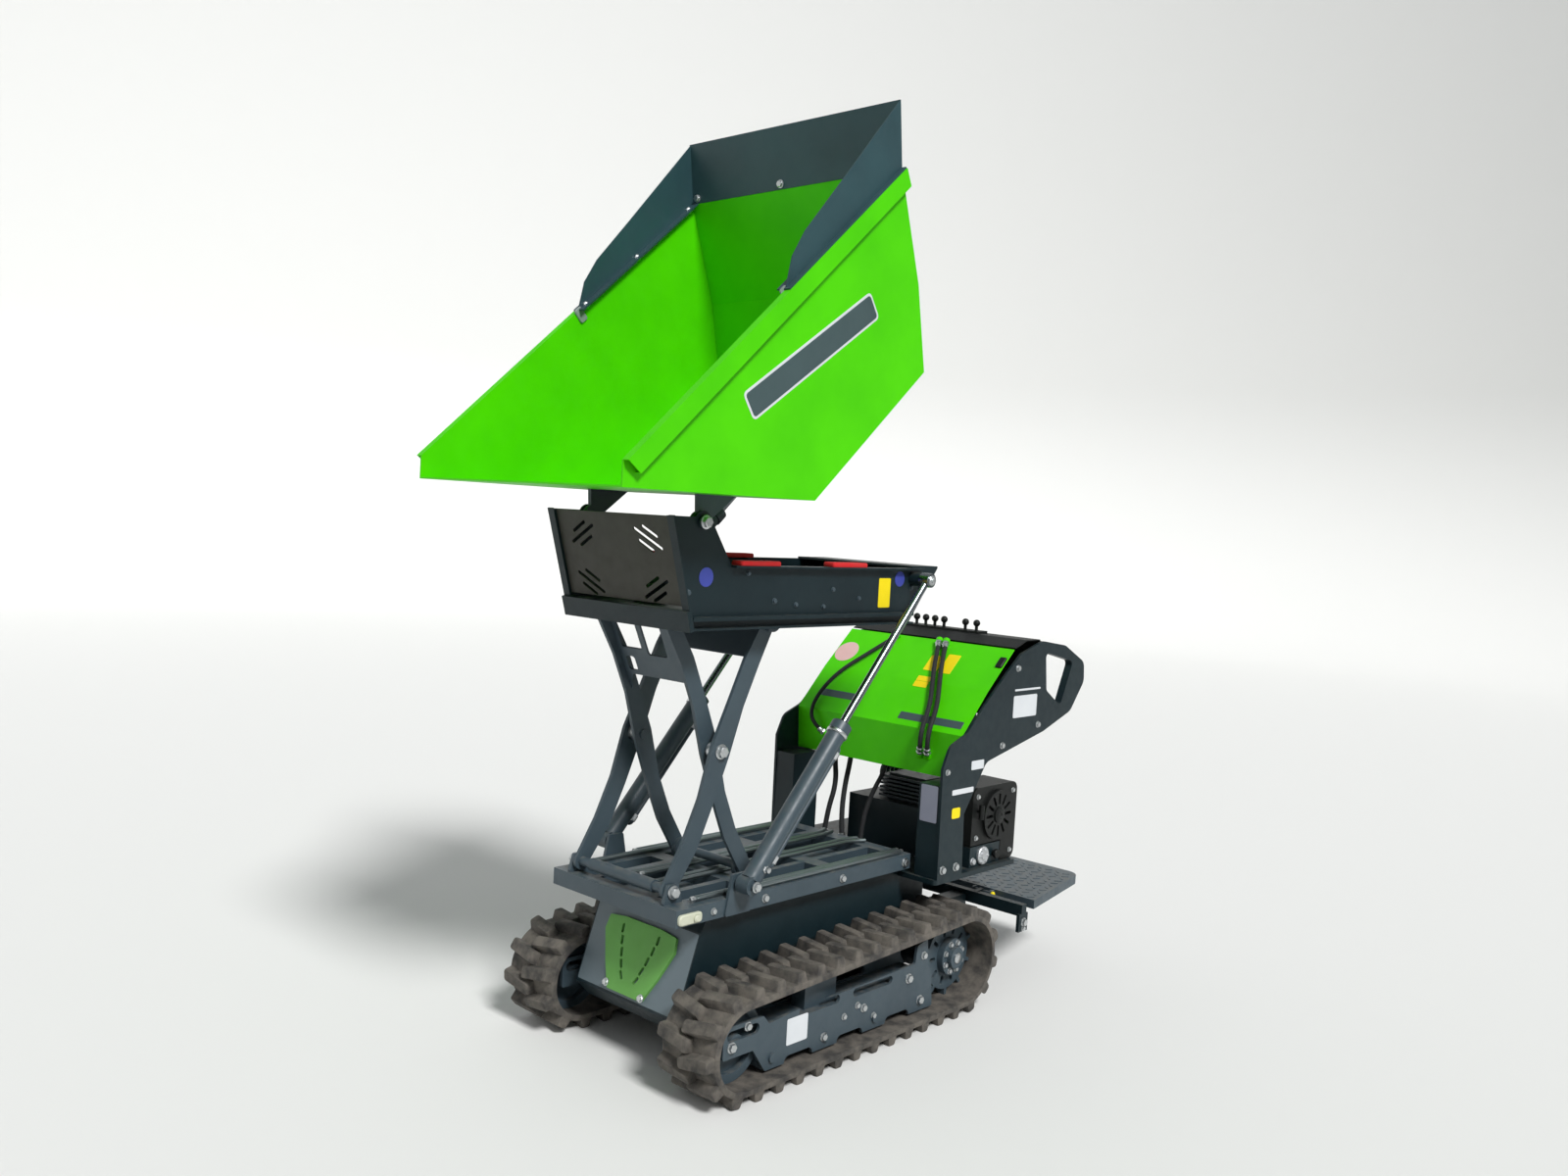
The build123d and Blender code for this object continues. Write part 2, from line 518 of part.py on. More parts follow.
# outward flanges round the side plate, with a bead above the lower one
FLANGE = 5
FLANGE_X = (TRAY_HALF - 1, TRAY_HALF + TRAY_FLANGE)
tray_side += box(*FLANGE_X, NOSE_FOOT, CONSOLE_FRONT - 25, TRAY_TOP - FLANGE, TRAY_TOP)
tray_side += box(*FLANGE_X, TRAY_FRONT, TRAY_SKIRT_REAR, TRAY_SKIRT, TRAY_SKIRT + FLANGE)
tray_side += box(*FLANGE_X, TRAY_FRONT, TRAY_SKIRT_REAR, TRAY_SKIRT + 22, TRAY_SKIRT + 32)
tray_side += across(strip(nose_line, -FLANGE), *FLANGE_X)
eye_boss = rod_x(*LIFT_EYE, 19, TRAY_HALF, LIFT_X - 15 - SEAT)
ear = outline([(FOOT_Y - 20, PAN_Z + 1), (FOOT_Y - 20, HEAD_FRONT[1] - 14), (FOOT_Y + 20, HEAD_FRONT[1] - 14),
               (FOOT_Y + 34, PAN_Z + 1)], 4)
ear = across(ear, LUG_X, LUG_X + LUG_THICK) - rod_x(*HEAD_FRONT, BAR_R + PIN_FIT, LUG_X - 5, BAR_END + 5)
TIP_EAR_X = 24
tip_ear = across(outline([(TIP_BASE[0] - 30, PAN_Z), (TIP_BASE[0] + 30, PAN_Z),
                          (TIP_BASE[0] + 16, TIP_BASE[1] + 16), (TIP_BASE[0] - 16, TIP_BASE[1] + 16)], 5),
                 TIP_EAR_X, TIP_EAR_X + 8)
tray = box(-TRAY_HALF, TRAY_HALF, TRAY_FRONT, TRAY_SKIRT_REAR + 20, PAN_Z, PAN_Z + TRAY_WALL)
for shape in (tray_side, eye_boss, ear, tip_ear):
    for copy in both_sides(shape):
        tray += copy
tray += rod_x(*TIP_BASE, 10, -TIP_EAR_X - 8, TIP_EAR_X + 8)
rear_sheet = strip([(TRAY_REAR, TRAY_TOP), (TRAY_REAR - 120, TRAY_TOP)], -TRAY_WALL)
sloped_end = strip([(TRAY_REAR, TRAY_TOP), (TRAY_SKIRT_REAR, TRAY_SKIRT)], -TRAY_WALL)
tray += across(sloped_end, -TRAY_HALF, TRAY_HALF)
tray += across(rear_sheet, -TRAY_HALF, TRAY_HALF)
bumper_top = (TRAY_FRONT + TRAY_WALL + nose_unit[0] * BUMPER_HIGH, TRAY_SKIRT + nose_unit[1] * BUMPER_HIGH)
bumper = strip([(TRAY_FRONT + TRAY_WALL, TRAY_SKIRT), bumper_top], TRAY_WALL + 8)
tray += across(bumper, -TRAY_HALF - TRAY_FLANGE, TRAY_HALF + TRAY_FLANGE)
save("tray_frame", tray)

# front panel above the bumper: three slots in each corner, set across the diagonals
PANEL_BACK = 8
PANEL_SHEET = 4
panel_plane = Plane(origin=(0, TRAY_FRONT + PANEL_BACK, TRAY_SKIRT), x_dir=(1, 0, 0),
                    z_dir=(0, -nose_unit[1], nose_unit[0]))
panel_low = BUMPER_HIGH + 8
panel_high = nose_long - 2 - panel_low
panel_face = Pos(0, panel_low + panel_high / 2) * Rectangle(2 * (TRAY_HALF - TRAY_WALL), panel_high)
PANEL_SLOTS = ((-20, 58), (0, 104), (20, 58))   # across, length
for x, up, lean in ((-120, 216, 28), (120, 216, -28), (-120, 92, -28), (120, 92, 28)):
    for off, long in PANEL_SLOTS:
        panel_face -= Pos(x, up) * Rot(0, 0, lean) * Pos(0, off) * SlotOverall(long, 9)
save("front_panel", extrude(panel_plane * panel_face, -PANEL_SHEET))

pads = []
for y in (-540, -202):
    pad = box(TRAY_HALF - 24, TRAY_HALF + TRAY_FLANGE - 2, y, y + PAD_LONG, TRAY_TOP, TRAY_TOP + PAD)
    pads += both_sides(pad)
export_step(Compound(children=pads), "parts/rest_pads.step")

# ------------------------------------------------------------------ skip
FLOOR = TRAY_TOP + PAD + SEAT - HINGE[1]
CHUTE = radians(TIP_SHOWN)


def chute_point(along):
    """A point of the chute's underside, `along` forwards of the foot of the hinge's perpendicular."""
    return (CHUTE_GAP * sin(CHUTE) - along * cos(CHUTE), CHUTE_GAP * cos(CHUTE) + along * sin(CHUTE))


BEND = chute_point((FLOOR - CHUTE_GAP * cos(CHUTE)) / sin(CHUTE))
LIP = chute_point(CHUTE_LONG)
LIP_TOP = (LIP[0] + LIP_HIGH * sin(CHUTE), LIP[1] + LIP_HIGH * cos(CHUTE))
FLOOR_REAR = (719, FLOOR)
KNEE = (827, 103)
CORNER = (932, 365)
skip_line = [LIP, BEND, FLOOR_REAR, KNEE, CORNER]
TURN = Pos(0, *HINGE) * Rot(TIP_SHOWN, 0, 0)
skip_side = across(outline(skip_line + [LIP_TOP]), SKIP_HALF - SKIP_WALL, SKIP_HALF)
skip = across(strip(skip_line, SKIP_WALL), -SKIP_HALF, SKIP_HALF)
for copy in both_sides(skip_side):
    skip += copy
save("skip_shell", TURN * skip)

# rim: a folded channel down each side wall, open at the lip
rim_run = hypot(CORNER[0] - LIP_TOP[0], CORNER[1] - LIP_TOP[1])
rim_unit = ((CORNER[0] - LIP_TOP[0]) / rim_run, (CORNER[1] - LIP_TOP[1]) / rim_run)


def rim_point(along, down):
    """A point on the rim: along it from the lip, and square down from its top."""
    return (LIP_TOP[0] + along * rim_unit[0] + down * rim_unit[1],
            LIP_TOP[1] + along * rim_unit[1] - down * rim_unit[0])


rim_face = outline([LIP_TOP, rim_point(8, RIM_HIGH), rim_point(rim_run - 12, RIM_HIGH), CORNER])
hollow = outline([rim_point(-40, RIM_WALL), rim_point(-40, RIM_HIGH - RIM_WALL),
                  rim_point(rim_run - 20, RIM_HIGH - RIM_WALL), rim_point(rim_run - 20, RIM_WALL)])
rim = across(rim_face, SKIP_HALF, SKIP_HALF + RIM_OUT)
rim -= across(hollow, SKIP_HALF - 1, SKIP_HALF + RIM_OUT - RIM_WALL)
export_step(Compound(children=[TURN * r for r in both_sides(rim)]), "parts/skip_rim.step")

EXT_TOP = (1023, 500)
EXT_FRONT = rim_point(610, 0)
EXT_CURVE = ((465, 404), (537, 427), (690, 449))
ext_side = across(outline([EXT_FRONT, *EXT_CURVE, EXT_TOP, CORNER]), SKIP_HALF - SKIP_WALL, SKIP_HALF)
ext_side += across(strip([EXT_FRONT, CORNER], SKIP_WALL), SKIP_HALF - 26, SKIP_HALF + RIM_OUT - 3)
extension = across(strip([CORNER, EXT_TOP], SKIP_WALL), -SKIP_HALF, SKIP_HALF)
for copy in both_sides(ext_side):
    extension += copy
save("skip_extension", TURN * (extension - skip))

SKIP_EAR_X = TRAY_HALF - TRAY_WALL - SIDE_GAP
ear_points = [chute_point(10), chute_point(-112)]
ear_face = outline([ear_points[0], ear_points[1], (16, -18), (-18, -14)])
ear_face = ear_face + Circle(24)
skip_ear = across(ear_face, SKIP_EAR_X - 12, SKIP_EAR_X)
skip_ear += rod_x(0, 0, 14, SKIP_EAR_X, TRAY_HALF + 8)
lug_face = outline([(TIP_LUG[0] - 40, FLOOR), (TIP_LUG[0] - 14, TIP_LUG[1] - 6), (TIP_LUG[0] + 14, TIP_LUG[1] - 6),
                    (TIP_LUG[0] + 40, FLOOR)]) + Pos(*TIP_LUG) * Circle(16)
TIP_EYE_HALF = TIP_R + 2
skip_lug = across(lug_face, TIP_EYE_HALF + 2, TIP_EYE_HALF + 10)
export_step(Compound(children=[TURN * c for s in (skip_ear, skip_lug) for c in both_sides(s)]),
            "parts/skip_hinge.step")

# ------------------------------------------------------------------ cylinders
def along_line(base, angle, x, shape):
    """A shape drawn along +Z, laid along a line in the (Y, Z) plane at that X."""
    return Pos(x, *base) * Rot(-(90 - degrees(angle)), 0, 0) * shape


def barrel_shape(length, radius, bore, rod_radius, eye_r, eye_half, pin_r):
    body = Cylinder(radius, length - eye_r / 2, align=(Align.CENTER, Align.CENTER, Align.MIN))
    body = Pos(0, 0, eye_r / 2) * body
    body += Pos(0, 0, length - 28) * Cylinder(radius + 3, 28, align=(Align.CENTER, Align.CENTER, Align.MIN))
    body += Rot(0, 90, 0) * Cylinder(eye_r, 2 * eye_half)
    start = 2 * eye_r
    body -= Pos(0, 0, start) * Cylinder(bore, length - 14 - start, align=(Align.CENTER, Align.CENTER, Align.MIN))
    body -= Pos(0, 0, start) * Cylinder(rod_radius + SLIDE_FIT, length, align=(Align.CENTER, Align.CENTER, Align.MIN))
    body -= Rot(0, 90, 0) * Cylinder(pin_r + PIN_FIT, 4 * eye_half)
    return body


def rod_shape(length, inner_end, rod_radius, piston_r, eye_r, eye_half):
    body = Pos(0, 0, inner_end) * Cylinder(rod_radius, length - inner_end, align=(Align.CENTER, Align.CENTER, Align.MIN))
    body += Pos(0, 0, inner_end) * Cylinder(piston_r, 12, align=(Align.CENTER, Align.CENTER, Align.MIN))
    body += Pos(0, 0, length) * Rot(0, 90, 0) * Cylinder(eye_r, 2 * eye_half)
    return body


lift_run = (LIFT_EYE[0] - LIFT_BASE[0], LIFT_EYE[1] - LIFT_BASE[1])
lift_angle = atan2(lift_run[1], lift_run[0])
lift_length = hypot(*lift_run)
lift_barrel = along_line(LIFT_BASE, lift_angle, LIFT_X,
                         barrel_shape(LIFT_BARREL, LIFT_R, LIFT_R - 6, LIFT_ROD_R, 24, 20, 11))
# steel pipe from the base port to the gland port, under the barrel
pipe_line = [(0, LIFT_R - 2, 74), (0, LIFT_R + 13, 74), (0, LIFT_R + 13, LIFT_BARREL - 52),
             (0, LIFT_R - 2, LIFT_BARREL - 52)]
pipe = sweep(Plane(origin=pipe_line[0], z_dir=(0, 1, 0)) * Circle(PIPE_R), FilletPolyline(*pipe_line, radius=9))
lift_barrel += along_line(LIFT_BASE, lift_angle, LIFT_X, pipe)
lift_rod = along_line(LIFT_BASE, lift_angle, LIFT_X,
                      rod_shape(lift_length, LIFT_BARREL - 36, LIFT_ROD_R, LIFT_R - 6 - SLIDE_FIT, 20, 15))
for side, barrel, rod in zip(("left", "right"), both_sides(lift_barrel), both_sides(lift_rod)):
    save(f"lift_barrel_{side}", barrel)
    save(f"lift_rod_{side}", rod)

tip_eye = (HINGE[0] + TIP_LUG[0] * cos(CHUTE) - TIP_LUG[1] * sin(CHUTE),
           HINGE[1] + TIP_LUG[0] * sin(CHUTE) + TIP_LUG[1] * cos(CHUTE))
tip_run = (tip_eye[0] - TIP_BASE[0], tip_eye[1] - TIP_BASE[1])
tip_angle = atan2(tip_run[1], tip_run[0])
tip_length = hypot(*tip_run)
save("tip_barrel", along_line(TIP_BASE, tip_angle, 0, barrel_shape(TIP_BARREL, TIP_R, TIP_R - 4, TIP_ROD_R,
                                                                  16, TIP_EAR_X - 2, 10)))
save("tip_rod", along_line(TIP_BASE, tip_angle, 0,
                           rod_shape(tip_length, TIP_PISTON, TIP_ROD_R, TIP_R - 4 - SLIDE_FIT, 14, TIP_EYE_HALF)))

# ------------------------------------------------------------------ console
side_points = [(CONSOLE_FRONT, BASE_TOP), (CONSOLE_FRONT - 4, 700), (240, 762), (318, 792), (390, 860),
               (505, 957), (575, 1010), (690, 1045), (825, 1027), (945, 970), (952, 908), (879, 818),
               (726, 766), (425, 700), (LEG_REAR - 8, 560), (LEG_REAR, BASE_TOP)]
side_face = outline(side_points)
corner_radii = ((240, 762, 40), (318, 792, 60), (945, 970, 30), (952, 908, 34), (425, 700, 40), (879, 818, 50),
                (825, 1027, 60), (690, 1045, 60))
for y, z, radius in corner_radii:
    corner = side_face.vertices().sort_by_distance(Vector(y, z, 0))[0]
    side_face = fillet([corner], radius)
LOOP_HOLE = [(712, 1010), (876, 975), (816, 838), (729, 892)]
loop_hole = outline(LOOP_HOLE, 14)
side_face -= loop_hole
console_side = across(side_face, CONSOLE_HALF - SIDE_PLATE, CONSOLE_HALF)
grip_zone = outline([(704, 740), (1000, 740), (1000, 1060), (704, 1060)])
console_side += across(side_face & grip_zone, CONSOLE_HALF - GRIP_WIDTH, CONSOLE_HALF)
leg = box(LEG_INNER, CONSOLE_HALF - SIDE_PLATE, CONSOLE_FRONT, LEG_REAR - 4, BASE_TOP, LEG_TOP)
leg -= box(LEG_INNER + LEG_WALL, CONSOLE_HALF, CONSOLE_FRONT + LEG_WALL, LEG_REAR - 4 - LEG_WALL,
           BASE_TOP, LEG_TOP - LEG_WALL)
console_side += leg
for side, copy in zip(("left", "right"), both_sides(console_side)):
    save(f"console_side_{side}", copy)

HOOD_LINE = [(315, 655), (306, 784), (420, 904), (547, 1021)]
INSIDE_X = CONSOLE_HALF - SIDE_PLATE
hood = across(strip(HOOD_LINE, HOOD_SHEET), -INSIDE_X, INSIDE_X)
for name, diameter, route in HOOD_HOSES:
    hood += gland(diameter, route[0], route[1], 13)
    hood += gland(diameter, route[-1], route[-2], 14)
save("hood", hood)
DASH_LINE = [(553, 1025), (612, 1046), (684, 1046), (700, 1012), (645, 800)]
save("console_top", across(strip(DASH_LINE, HOOD_SHEET), -INSIDE_X, INSIDE_X))
SHELF_Y = (330, 565)
shelf = box(-INSIDE_X, INSIDE_X, *SHELF_Y, SHELF_Z, SHELF_Z + 6)
for name, diameter, route in SHELF_HOSES:
    shelf += gland(diameter, route[0], route[1], SHELF_Z + 3 - route[0][2])
save("console_shelf", shelf)
TANK_HALF, TANK_HIGH = 190, 112
tank = box(-TANK_HALF, TANK_HALF, SHELF_Y[0] + 72, SHELF_Y[1] - 5, SHELF_Z + 6, SHELF_Z + 6 + TANK_HIGH)
save("fuel_tank", fillet(tank.edges(), 14))

# control levers in their gate on the dash
GATE_Z = DASH_LINE[1][1] + HOOD_SHEET + SEAT
levers = box(-152, 128, DASH_LINE[1][0] + 10, DASH_LINE[2][0] - 10, GATE_Z, GATE_Z + 7)
LEVER_XS = (-128, -92, -56, -20, 62, 104)
for x in LEVER_XS:
    levers += Pos(x, 648, GATE_Z) * Cylinder(5, 26, align=(Align.CENTER, Align.CENTER, Align.MIN))
    levers += Pos(x, 648, GATE_Z + 30) * Sphere(11)
save("control_levers", levers)

# ------------------------------------------------------------------ engine
ENGINE = (385, 590)       # front and rear
ENGINE_X = (-150, 190)
COVER_X = CONSOLE_HALF - 20
engine = box(*ENGINE_X, *ENGINE, BASE_TOP, 530)
engine += box(ENGINE_X[1] - 1, COVER_X, ENGINE[0] + 15, ENGINE[0] + 168, BASE_TOP, 446)
engine += box(-30, 110, ENGINE[0] + 40, ENGINE[1] - 50, 529, 610)
FINS = 6
for i in range(FINS):
    engine += box(-50, 130, ENGINE[0] + 20, ENGINE[1] - 30, 538 + i * 12, 544 + i * 12)
engine += rod_x(ENGINE[1] - 30, 580, 36, -145, -58)
engine += rod_x(ENGINE[1] - 30, 580, 12, -60, -49)
engine += box(-110, -90, ENGINE[1] - 45, ENGINE[1] - 15, 529, 560)
save("engine_block", engine)

cover = box(ENGINE_X[1], COVER_X, ENGINE[0] + 15, ENGINE[1] + 42, BASE_TOP, BASE_TOP + 234)
cover = fillet(cover.edges().filter_by(Axis.X), 26)
cover -= box(ENGINE_X[1] - 1, COVER_X + 1, ENGINE[0], ENGINE[0] + 172, BASE_TOP - 1, 450)
STARTER = (525, 530)
starter_face = Pos(*STARTER) * Circle(74)
STARTER_SLOTS = 12
for i in range(STARTER_SLOTS):
    starter_face -= Pos(*STARTER) * Rot(0, 0, 360 * i / STARTER_SLOTS) * (Pos(48, 0) * SlotOverall(34, 9))
cover += across(starter_face, COVER_X, COVER_X + 10)
save("engine_shroud", cover)

# ------------------------------------------------------------------ platform and hitch
platform_outline = [(375, PLATFORM_Y), (300, PLATFORM_REAR), (-300, PLATFORM_REAR), (-375, PLATFORM_Y)]
deck_face = make_face(Polyline(*platform_outline, close=True))
deck_face = fillet([v for v in deck_face.vertices() if v.Y > PLATFORM_Y + 1], 50)
platform = Pos(0, 0, PLATFORM_TOP - PLATFORM_PLATE) * extrude(deck_face, PLATFORM_PLATE)
skirt = extrude(deck_face, PLATFORM_SKIRT - PLATFORM_PLATE)
skirt -= Pos(0, 0, -1) * extrude(offset(deck_face, -4), PLATFORM_SKIRT + 2)
platform += Pos(0, 0, PLATFORM_TOP - PLATFORM_SKIRT) * skirt
FOLD_TABS = (162, 226)   # inner faces of the platform's hinge tabs
FOLD_TAB = 8
tab_face = outline([(FOLD_AXIS[0], FOLD_AXIS[1] + FOLD_PIN_R + 3), (PLATFORM_Y + 2, FOLD_AXIS[1] + FOLD_PIN_R + 3),
                    (PLATFORM_Y + 2, FOLD_AXIS[1] - FOLD_PIN_R - 3), (FOLD_AXIS[0], FOLD_AXIS[1] - FOLD_PIN_R - 3)])
tab_face += Pos(*FOLD_AXIS) * Circle(FOLD_PIN_R + 3)
hinge_half = rod_x(*FOLD_AXIS, FOLD_PIN_R, FOLD_TABS[0], FOLD_TABS[1] + FOLD_TAB)
for x in FOLD_TABS:
    hinge_half += across(tab_face, x, x + FOLD_TAB)
for copy in both_sides(hinge_half):
    platform += copy
save("platform", platform)

FOLD_BAR = (FOLD_AXIS[0] - 40, FOLD_AXIS[0] - 15)
BRACKET_HALF = 368
bracket_low = box(-BRACKET_HALF, BRACKET_HALF, *FOLD_BAR, PLATFORM_TOP - 43, PLATFORM_TOP - 7)
for side in (-1, 1):
    ends = sorted((side * (BRACKET_HALF - 10), side * BRACKET_HALF))
    bracket_low += box(*ends, FOLD_BAR[0] - 12, FOLD_BAR[1] + 10, PLATFORM_TOP - 88, PLATFORM_TOP - 34)
ear_face = outline([(FOLD_BAR[0], PLATFORM_TOP - 40), (FOLD_AXIS[0], FOLD_AXIS[1] - FOLD_PIN_R - 3),
                    (FOLD_AXIS[0], FOLD_AXIS[1] + FOLD_PIN_R + 3), (FOLD_BAR[0], PLATFORM_TOP - 7)])
ear_face += Pos(*FOLD_AXIS) * Circle(FOLD_PIN_R + 3)
fold_ear = across(ear_face, FOLD_TABS[0] + 26, FOLD_TABS[0] + 40)
fold_ear -= rod_x(*FOLD_AXIS, FOLD_PIN_R + PIN_FIT, FOLD_TABS[0], FOLD_TABS[1])
for copy in both_sides(fold_ear):
    bracket_low += copy
for side in (-1, 1):
    bracket_low += box(side * 140 - 25, side * 140 + 25, CHASSIS_REAR, FOLD_BAR[0] + 2, 205, 245)
save("platform_bracket", bracket_low)
HITCH_HOLE = 13
hitch = box(-40, 40, CHASSIS_REAR, 430, 150, 162)
hitch = fillet(hitch.edges().filter_by(Axis.Z).group_by(Axis.Y)[-1], 30)
hitch -= Pos(0, 395, 156) * Cylinder(HITCH_HOLE, 40)
save("tow_hitch", hitch)

# ------------------------------------------------------------------ hoses
for name, diameter, route in HOOD_HOSES + SHELF_HOSES:
    radii = bend_radii(route)
    line = FilletPolyline(*route, radius=radii)
    start = Plane(origin=route[0], z_dir=Vector(*route[1]) - Vector(*route[0]))
    hose = sweep(start * Circle(diameter / 2), line)
    save(name, hose)
    print(name, "radii", [round(r) for r in radii], "length", round(line.length),
          "volume ratio", round(hose.volume / (pi * diameter * diameter / 4 * line.length), 4))
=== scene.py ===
import json
from math import acos, atan2, cos, hypot, pi, radians, sin, sqrt

import bpy
import numpy as np
from mathutils import Matrix, Vector


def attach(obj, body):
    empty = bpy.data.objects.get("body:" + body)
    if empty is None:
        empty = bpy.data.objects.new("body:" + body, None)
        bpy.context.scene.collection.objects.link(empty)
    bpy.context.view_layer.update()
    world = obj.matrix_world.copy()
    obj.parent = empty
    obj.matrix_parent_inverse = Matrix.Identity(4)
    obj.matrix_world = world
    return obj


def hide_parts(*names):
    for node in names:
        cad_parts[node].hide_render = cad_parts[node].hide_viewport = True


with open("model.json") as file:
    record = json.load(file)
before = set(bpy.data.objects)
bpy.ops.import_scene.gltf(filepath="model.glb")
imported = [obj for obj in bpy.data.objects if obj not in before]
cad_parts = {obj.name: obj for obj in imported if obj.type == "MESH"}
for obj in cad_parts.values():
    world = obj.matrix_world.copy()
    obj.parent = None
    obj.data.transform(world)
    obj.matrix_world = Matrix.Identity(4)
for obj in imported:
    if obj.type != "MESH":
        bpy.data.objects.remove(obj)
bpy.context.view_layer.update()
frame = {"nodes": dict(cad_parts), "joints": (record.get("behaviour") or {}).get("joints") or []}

node = frame["nodes"]

# ---------------------------------------------------------------- the view
# A person's eye height, three quarters from the front left. One large soft lamp stands high on the machine's
# left, as a roof light would, and a pale surround fills the shade.
scene = bpy.context.scene
scene.view_settings.view_transform = "Standard"

EYE = Vector((2.414, -2.771, 1.380))
AZIMUTH, PITCH, ROLL = radians(42.51), radians(-3.161), radians(3.29)
SENSOR, FOCAL_SHARE = 36, 0.835375      # width in millimetres, and the focal length over it


def aim(azimuth, pitch, roll):
    """Rotation whose -Z looks along azimuth from +Y and pitch from level, then rolled about that line."""
    ahead = Vector((-sin(azimuth) * cos(pitch), cos(azimuth) * cos(pitch), sin(pitch)))
    level = Vector((cos(azimuth), sin(azimuth), 0))
    above = level.cross(ahead)
    right = cos(roll) * level + sin(roll) * above
    up = -sin(roll) * level + cos(roll) * above
    return Matrix((right, up, -ahead)).transposed()


def paint_colour(code):
    """Six-digit sRGB hex to linear red, green, blue and alpha."""
    shares = [int(code[i:i + 2], 16) / 255 for i in (0, 2, 4)]
    return [c / 12.92 if c <= 0.04045 else ((c + 0.055) / 1.055) ** 2.4 for c in shares] + [1]


camera = bpy.data.objects.new("camera", bpy.data.cameras.new("camera"))
camera.data.sensor_width = SENSOR
camera.data.lens = SENSOR * FOCAL_SHARE
camera.matrix_world = Matrix.Translation(EYE) @ aim(AZIMUTH, PITCH, ROLL).to_4x4()
scene.collection.objects.link(camera)
scene.camera = camera

TO_LAMP = Vector((0.66, -0.20, 0.72))
lamp = bpy.data.objects.new("roof_light", bpy.data.lights.new("roof_light", "SUN"))
lamp.data.energy = 3.3
lamp.data.angle = radians(14)
lamp.rotation_euler = TO_LAMP.to_track_quat("Z", "Y").to_euler()
scene.collection.objects.link(lamp)
surround = bpy.data.worlds.new("surround")
surround.use_nodes = True
surround.node_tree.nodes["Background"].inputs["Color"].default_value = paint_colour("F7FCFF")
surround.node_tree.nodes["Background"].inputs["Strength"].default_value = 0.40
scene.world = surround

# ---------------------------------------------------------------- floor
# A floor of matt pale paper: it lies flat under the machine and curves up into a wall well away from it, on
# every side alike.


def add_node(tree, kind, settings=(), **sockets):
    """Adds a node. settings are its properties; sockets are set by name, with _ for a space, or by place,
    as n0 or n1, to a value, a hex colour or another node's output."""
    made = tree.nodes.new(kind)
    for key, value in dict(settings).items():
        setattr(made, key, value)
    for key, value in sockets.items():
        by_place = key[0] == "n" and key[1:].isdigit()
        socket = made.inputs[int(key[1:]) if by_place else key.replace("_", " ")]
        if isinstance(value, bpy.types.NodeSocket):
            tree.links.new(value, socket)
        else:
            socket.default_value = paint_colour(value) if isinstance(value, str) else value
    return made


def new_finish(name):
    """An empty material; returns it, its tree and its Object coordinates in metres."""
    material = bpy.data.materials.new(name)
    material.use_nodes = True
    material.node_tree.nodes.clear()
    place = add_node(material.node_tree, "ShaderNodeTexCoord").outputs["Object"]
    return material, material.node_tree, place


def close_finish(tree, **sockets):
    """The shader with its sockets set, joined to the output."""
    shader = add_node(tree, "ShaderNodeBsdfPrincipled", **sockets)
    add_node(tree, "ShaderNodeOutputMaterial", n0=shader.outputs[0])


# Uncoated paper scatters the light evenly, so it shows soft shadows and no highlight.
paper, tree, place = new_finish("matt_paper")
close_finish(tree, Base_Color="DCDCDA", Roughness=0.9)
PAPER_FLAT, PAPER_CURVE, PAPER_TOP = 12.5, 3.5, 9.5      # metres: flat radius, bend radius and wall height
PAPER_SIDES = 96
bend = np.linspace(0, pi / 2, 13)
# the rings: one on the flat a metre inside the bend, then round the bend, then the wall's top
away = np.concatenate([[PAPER_FLAT - 1], PAPER_FLAT + PAPER_CURVE * np.sin(bend), [PAPER_FLAT + PAPER_CURVE]])
rise = np.concatenate([[0], PAPER_CURVE * (1 - np.cos(bend)), [PAPER_TOP]])
turn = np.linspace(0, 2 * pi, PAPER_SIDES, endpoint=False)
# a ring's points stand at its distance times the cosine and sine of the turn, at the ring's height
ring = away[:, None] * np.cos(turn), away[:, None] * np.sin(turn), rise[:, None]
points = np.stack(np.broadcast_arrays(*ring), axis=-1)
at = np.arange(len(away) * PAPER_SIDES).reshape(len(away), PAPER_SIDES)
wall = np.stack([at[:-1], np.roll(at[:-1], -1, 1), np.roll(at[1:], -1, 1), at[1:]], axis=-1)
faces = [at[0].tolist()] + wall.reshape(-1, 4)[:, ::-1].tolist()
sheet = bpy.data.meshes.new("paper_sweep")
sheet.from_pydata(points.reshape(-1, 3).tolist(), [], faces)
sheet.materials.append(paper)
sheet.shade_smooth()
floor = bpy.data.objects.new("paper_sweep", sheet)
scene.collection.objects.link(floor)

# ---------------------------------------------------------------- rubber tracks
# Each is one moulded loop of rubber over steel cords, with two staggered rows of swept tread blocks. It runs
# round the sprocket and the idler and hangs on them; nothing else holds it.


def blotches(tree, place, size, low, high, detail=3.0):
    """A cloudy 0 to 1 mask with patches about `size` millimetres across, cut between low and high."""
    noise = add_node(tree, "ShaderNodeTexNoise", Vector=place, Scale=1000 / size, Detail=detail,
                     Roughness=0.6)
    return add_node(tree, "ShaderNodeMapRange", n0=noise.outputs[0], n1=low, n2=high).outputs[0]


def grain(tree, place, size, detail):
    """An even noise with grains `size` millimetres apart."""
    return add_node(tree, "ShaderNodeTexNoise", Vector=place, Scale=1000 / size, Detail=detail).outputs[0]


def product(tree, first, second):
    """One mask times another, or times a number."""
    return add_node(tree, "ShaderNodeMath", {"operation": "MULTIPLY"}, n0=first, n1=second).outputs[0]


def blend_colours(tree, share, first, second):
    """first where the share is 0, second where it is 1; each a hex code or a node's output."""
    return add_node(tree, "ShaderNodeMix", {"data_type": "RGBA"}, n0=share, n6=first, n7=second).outputs[2]


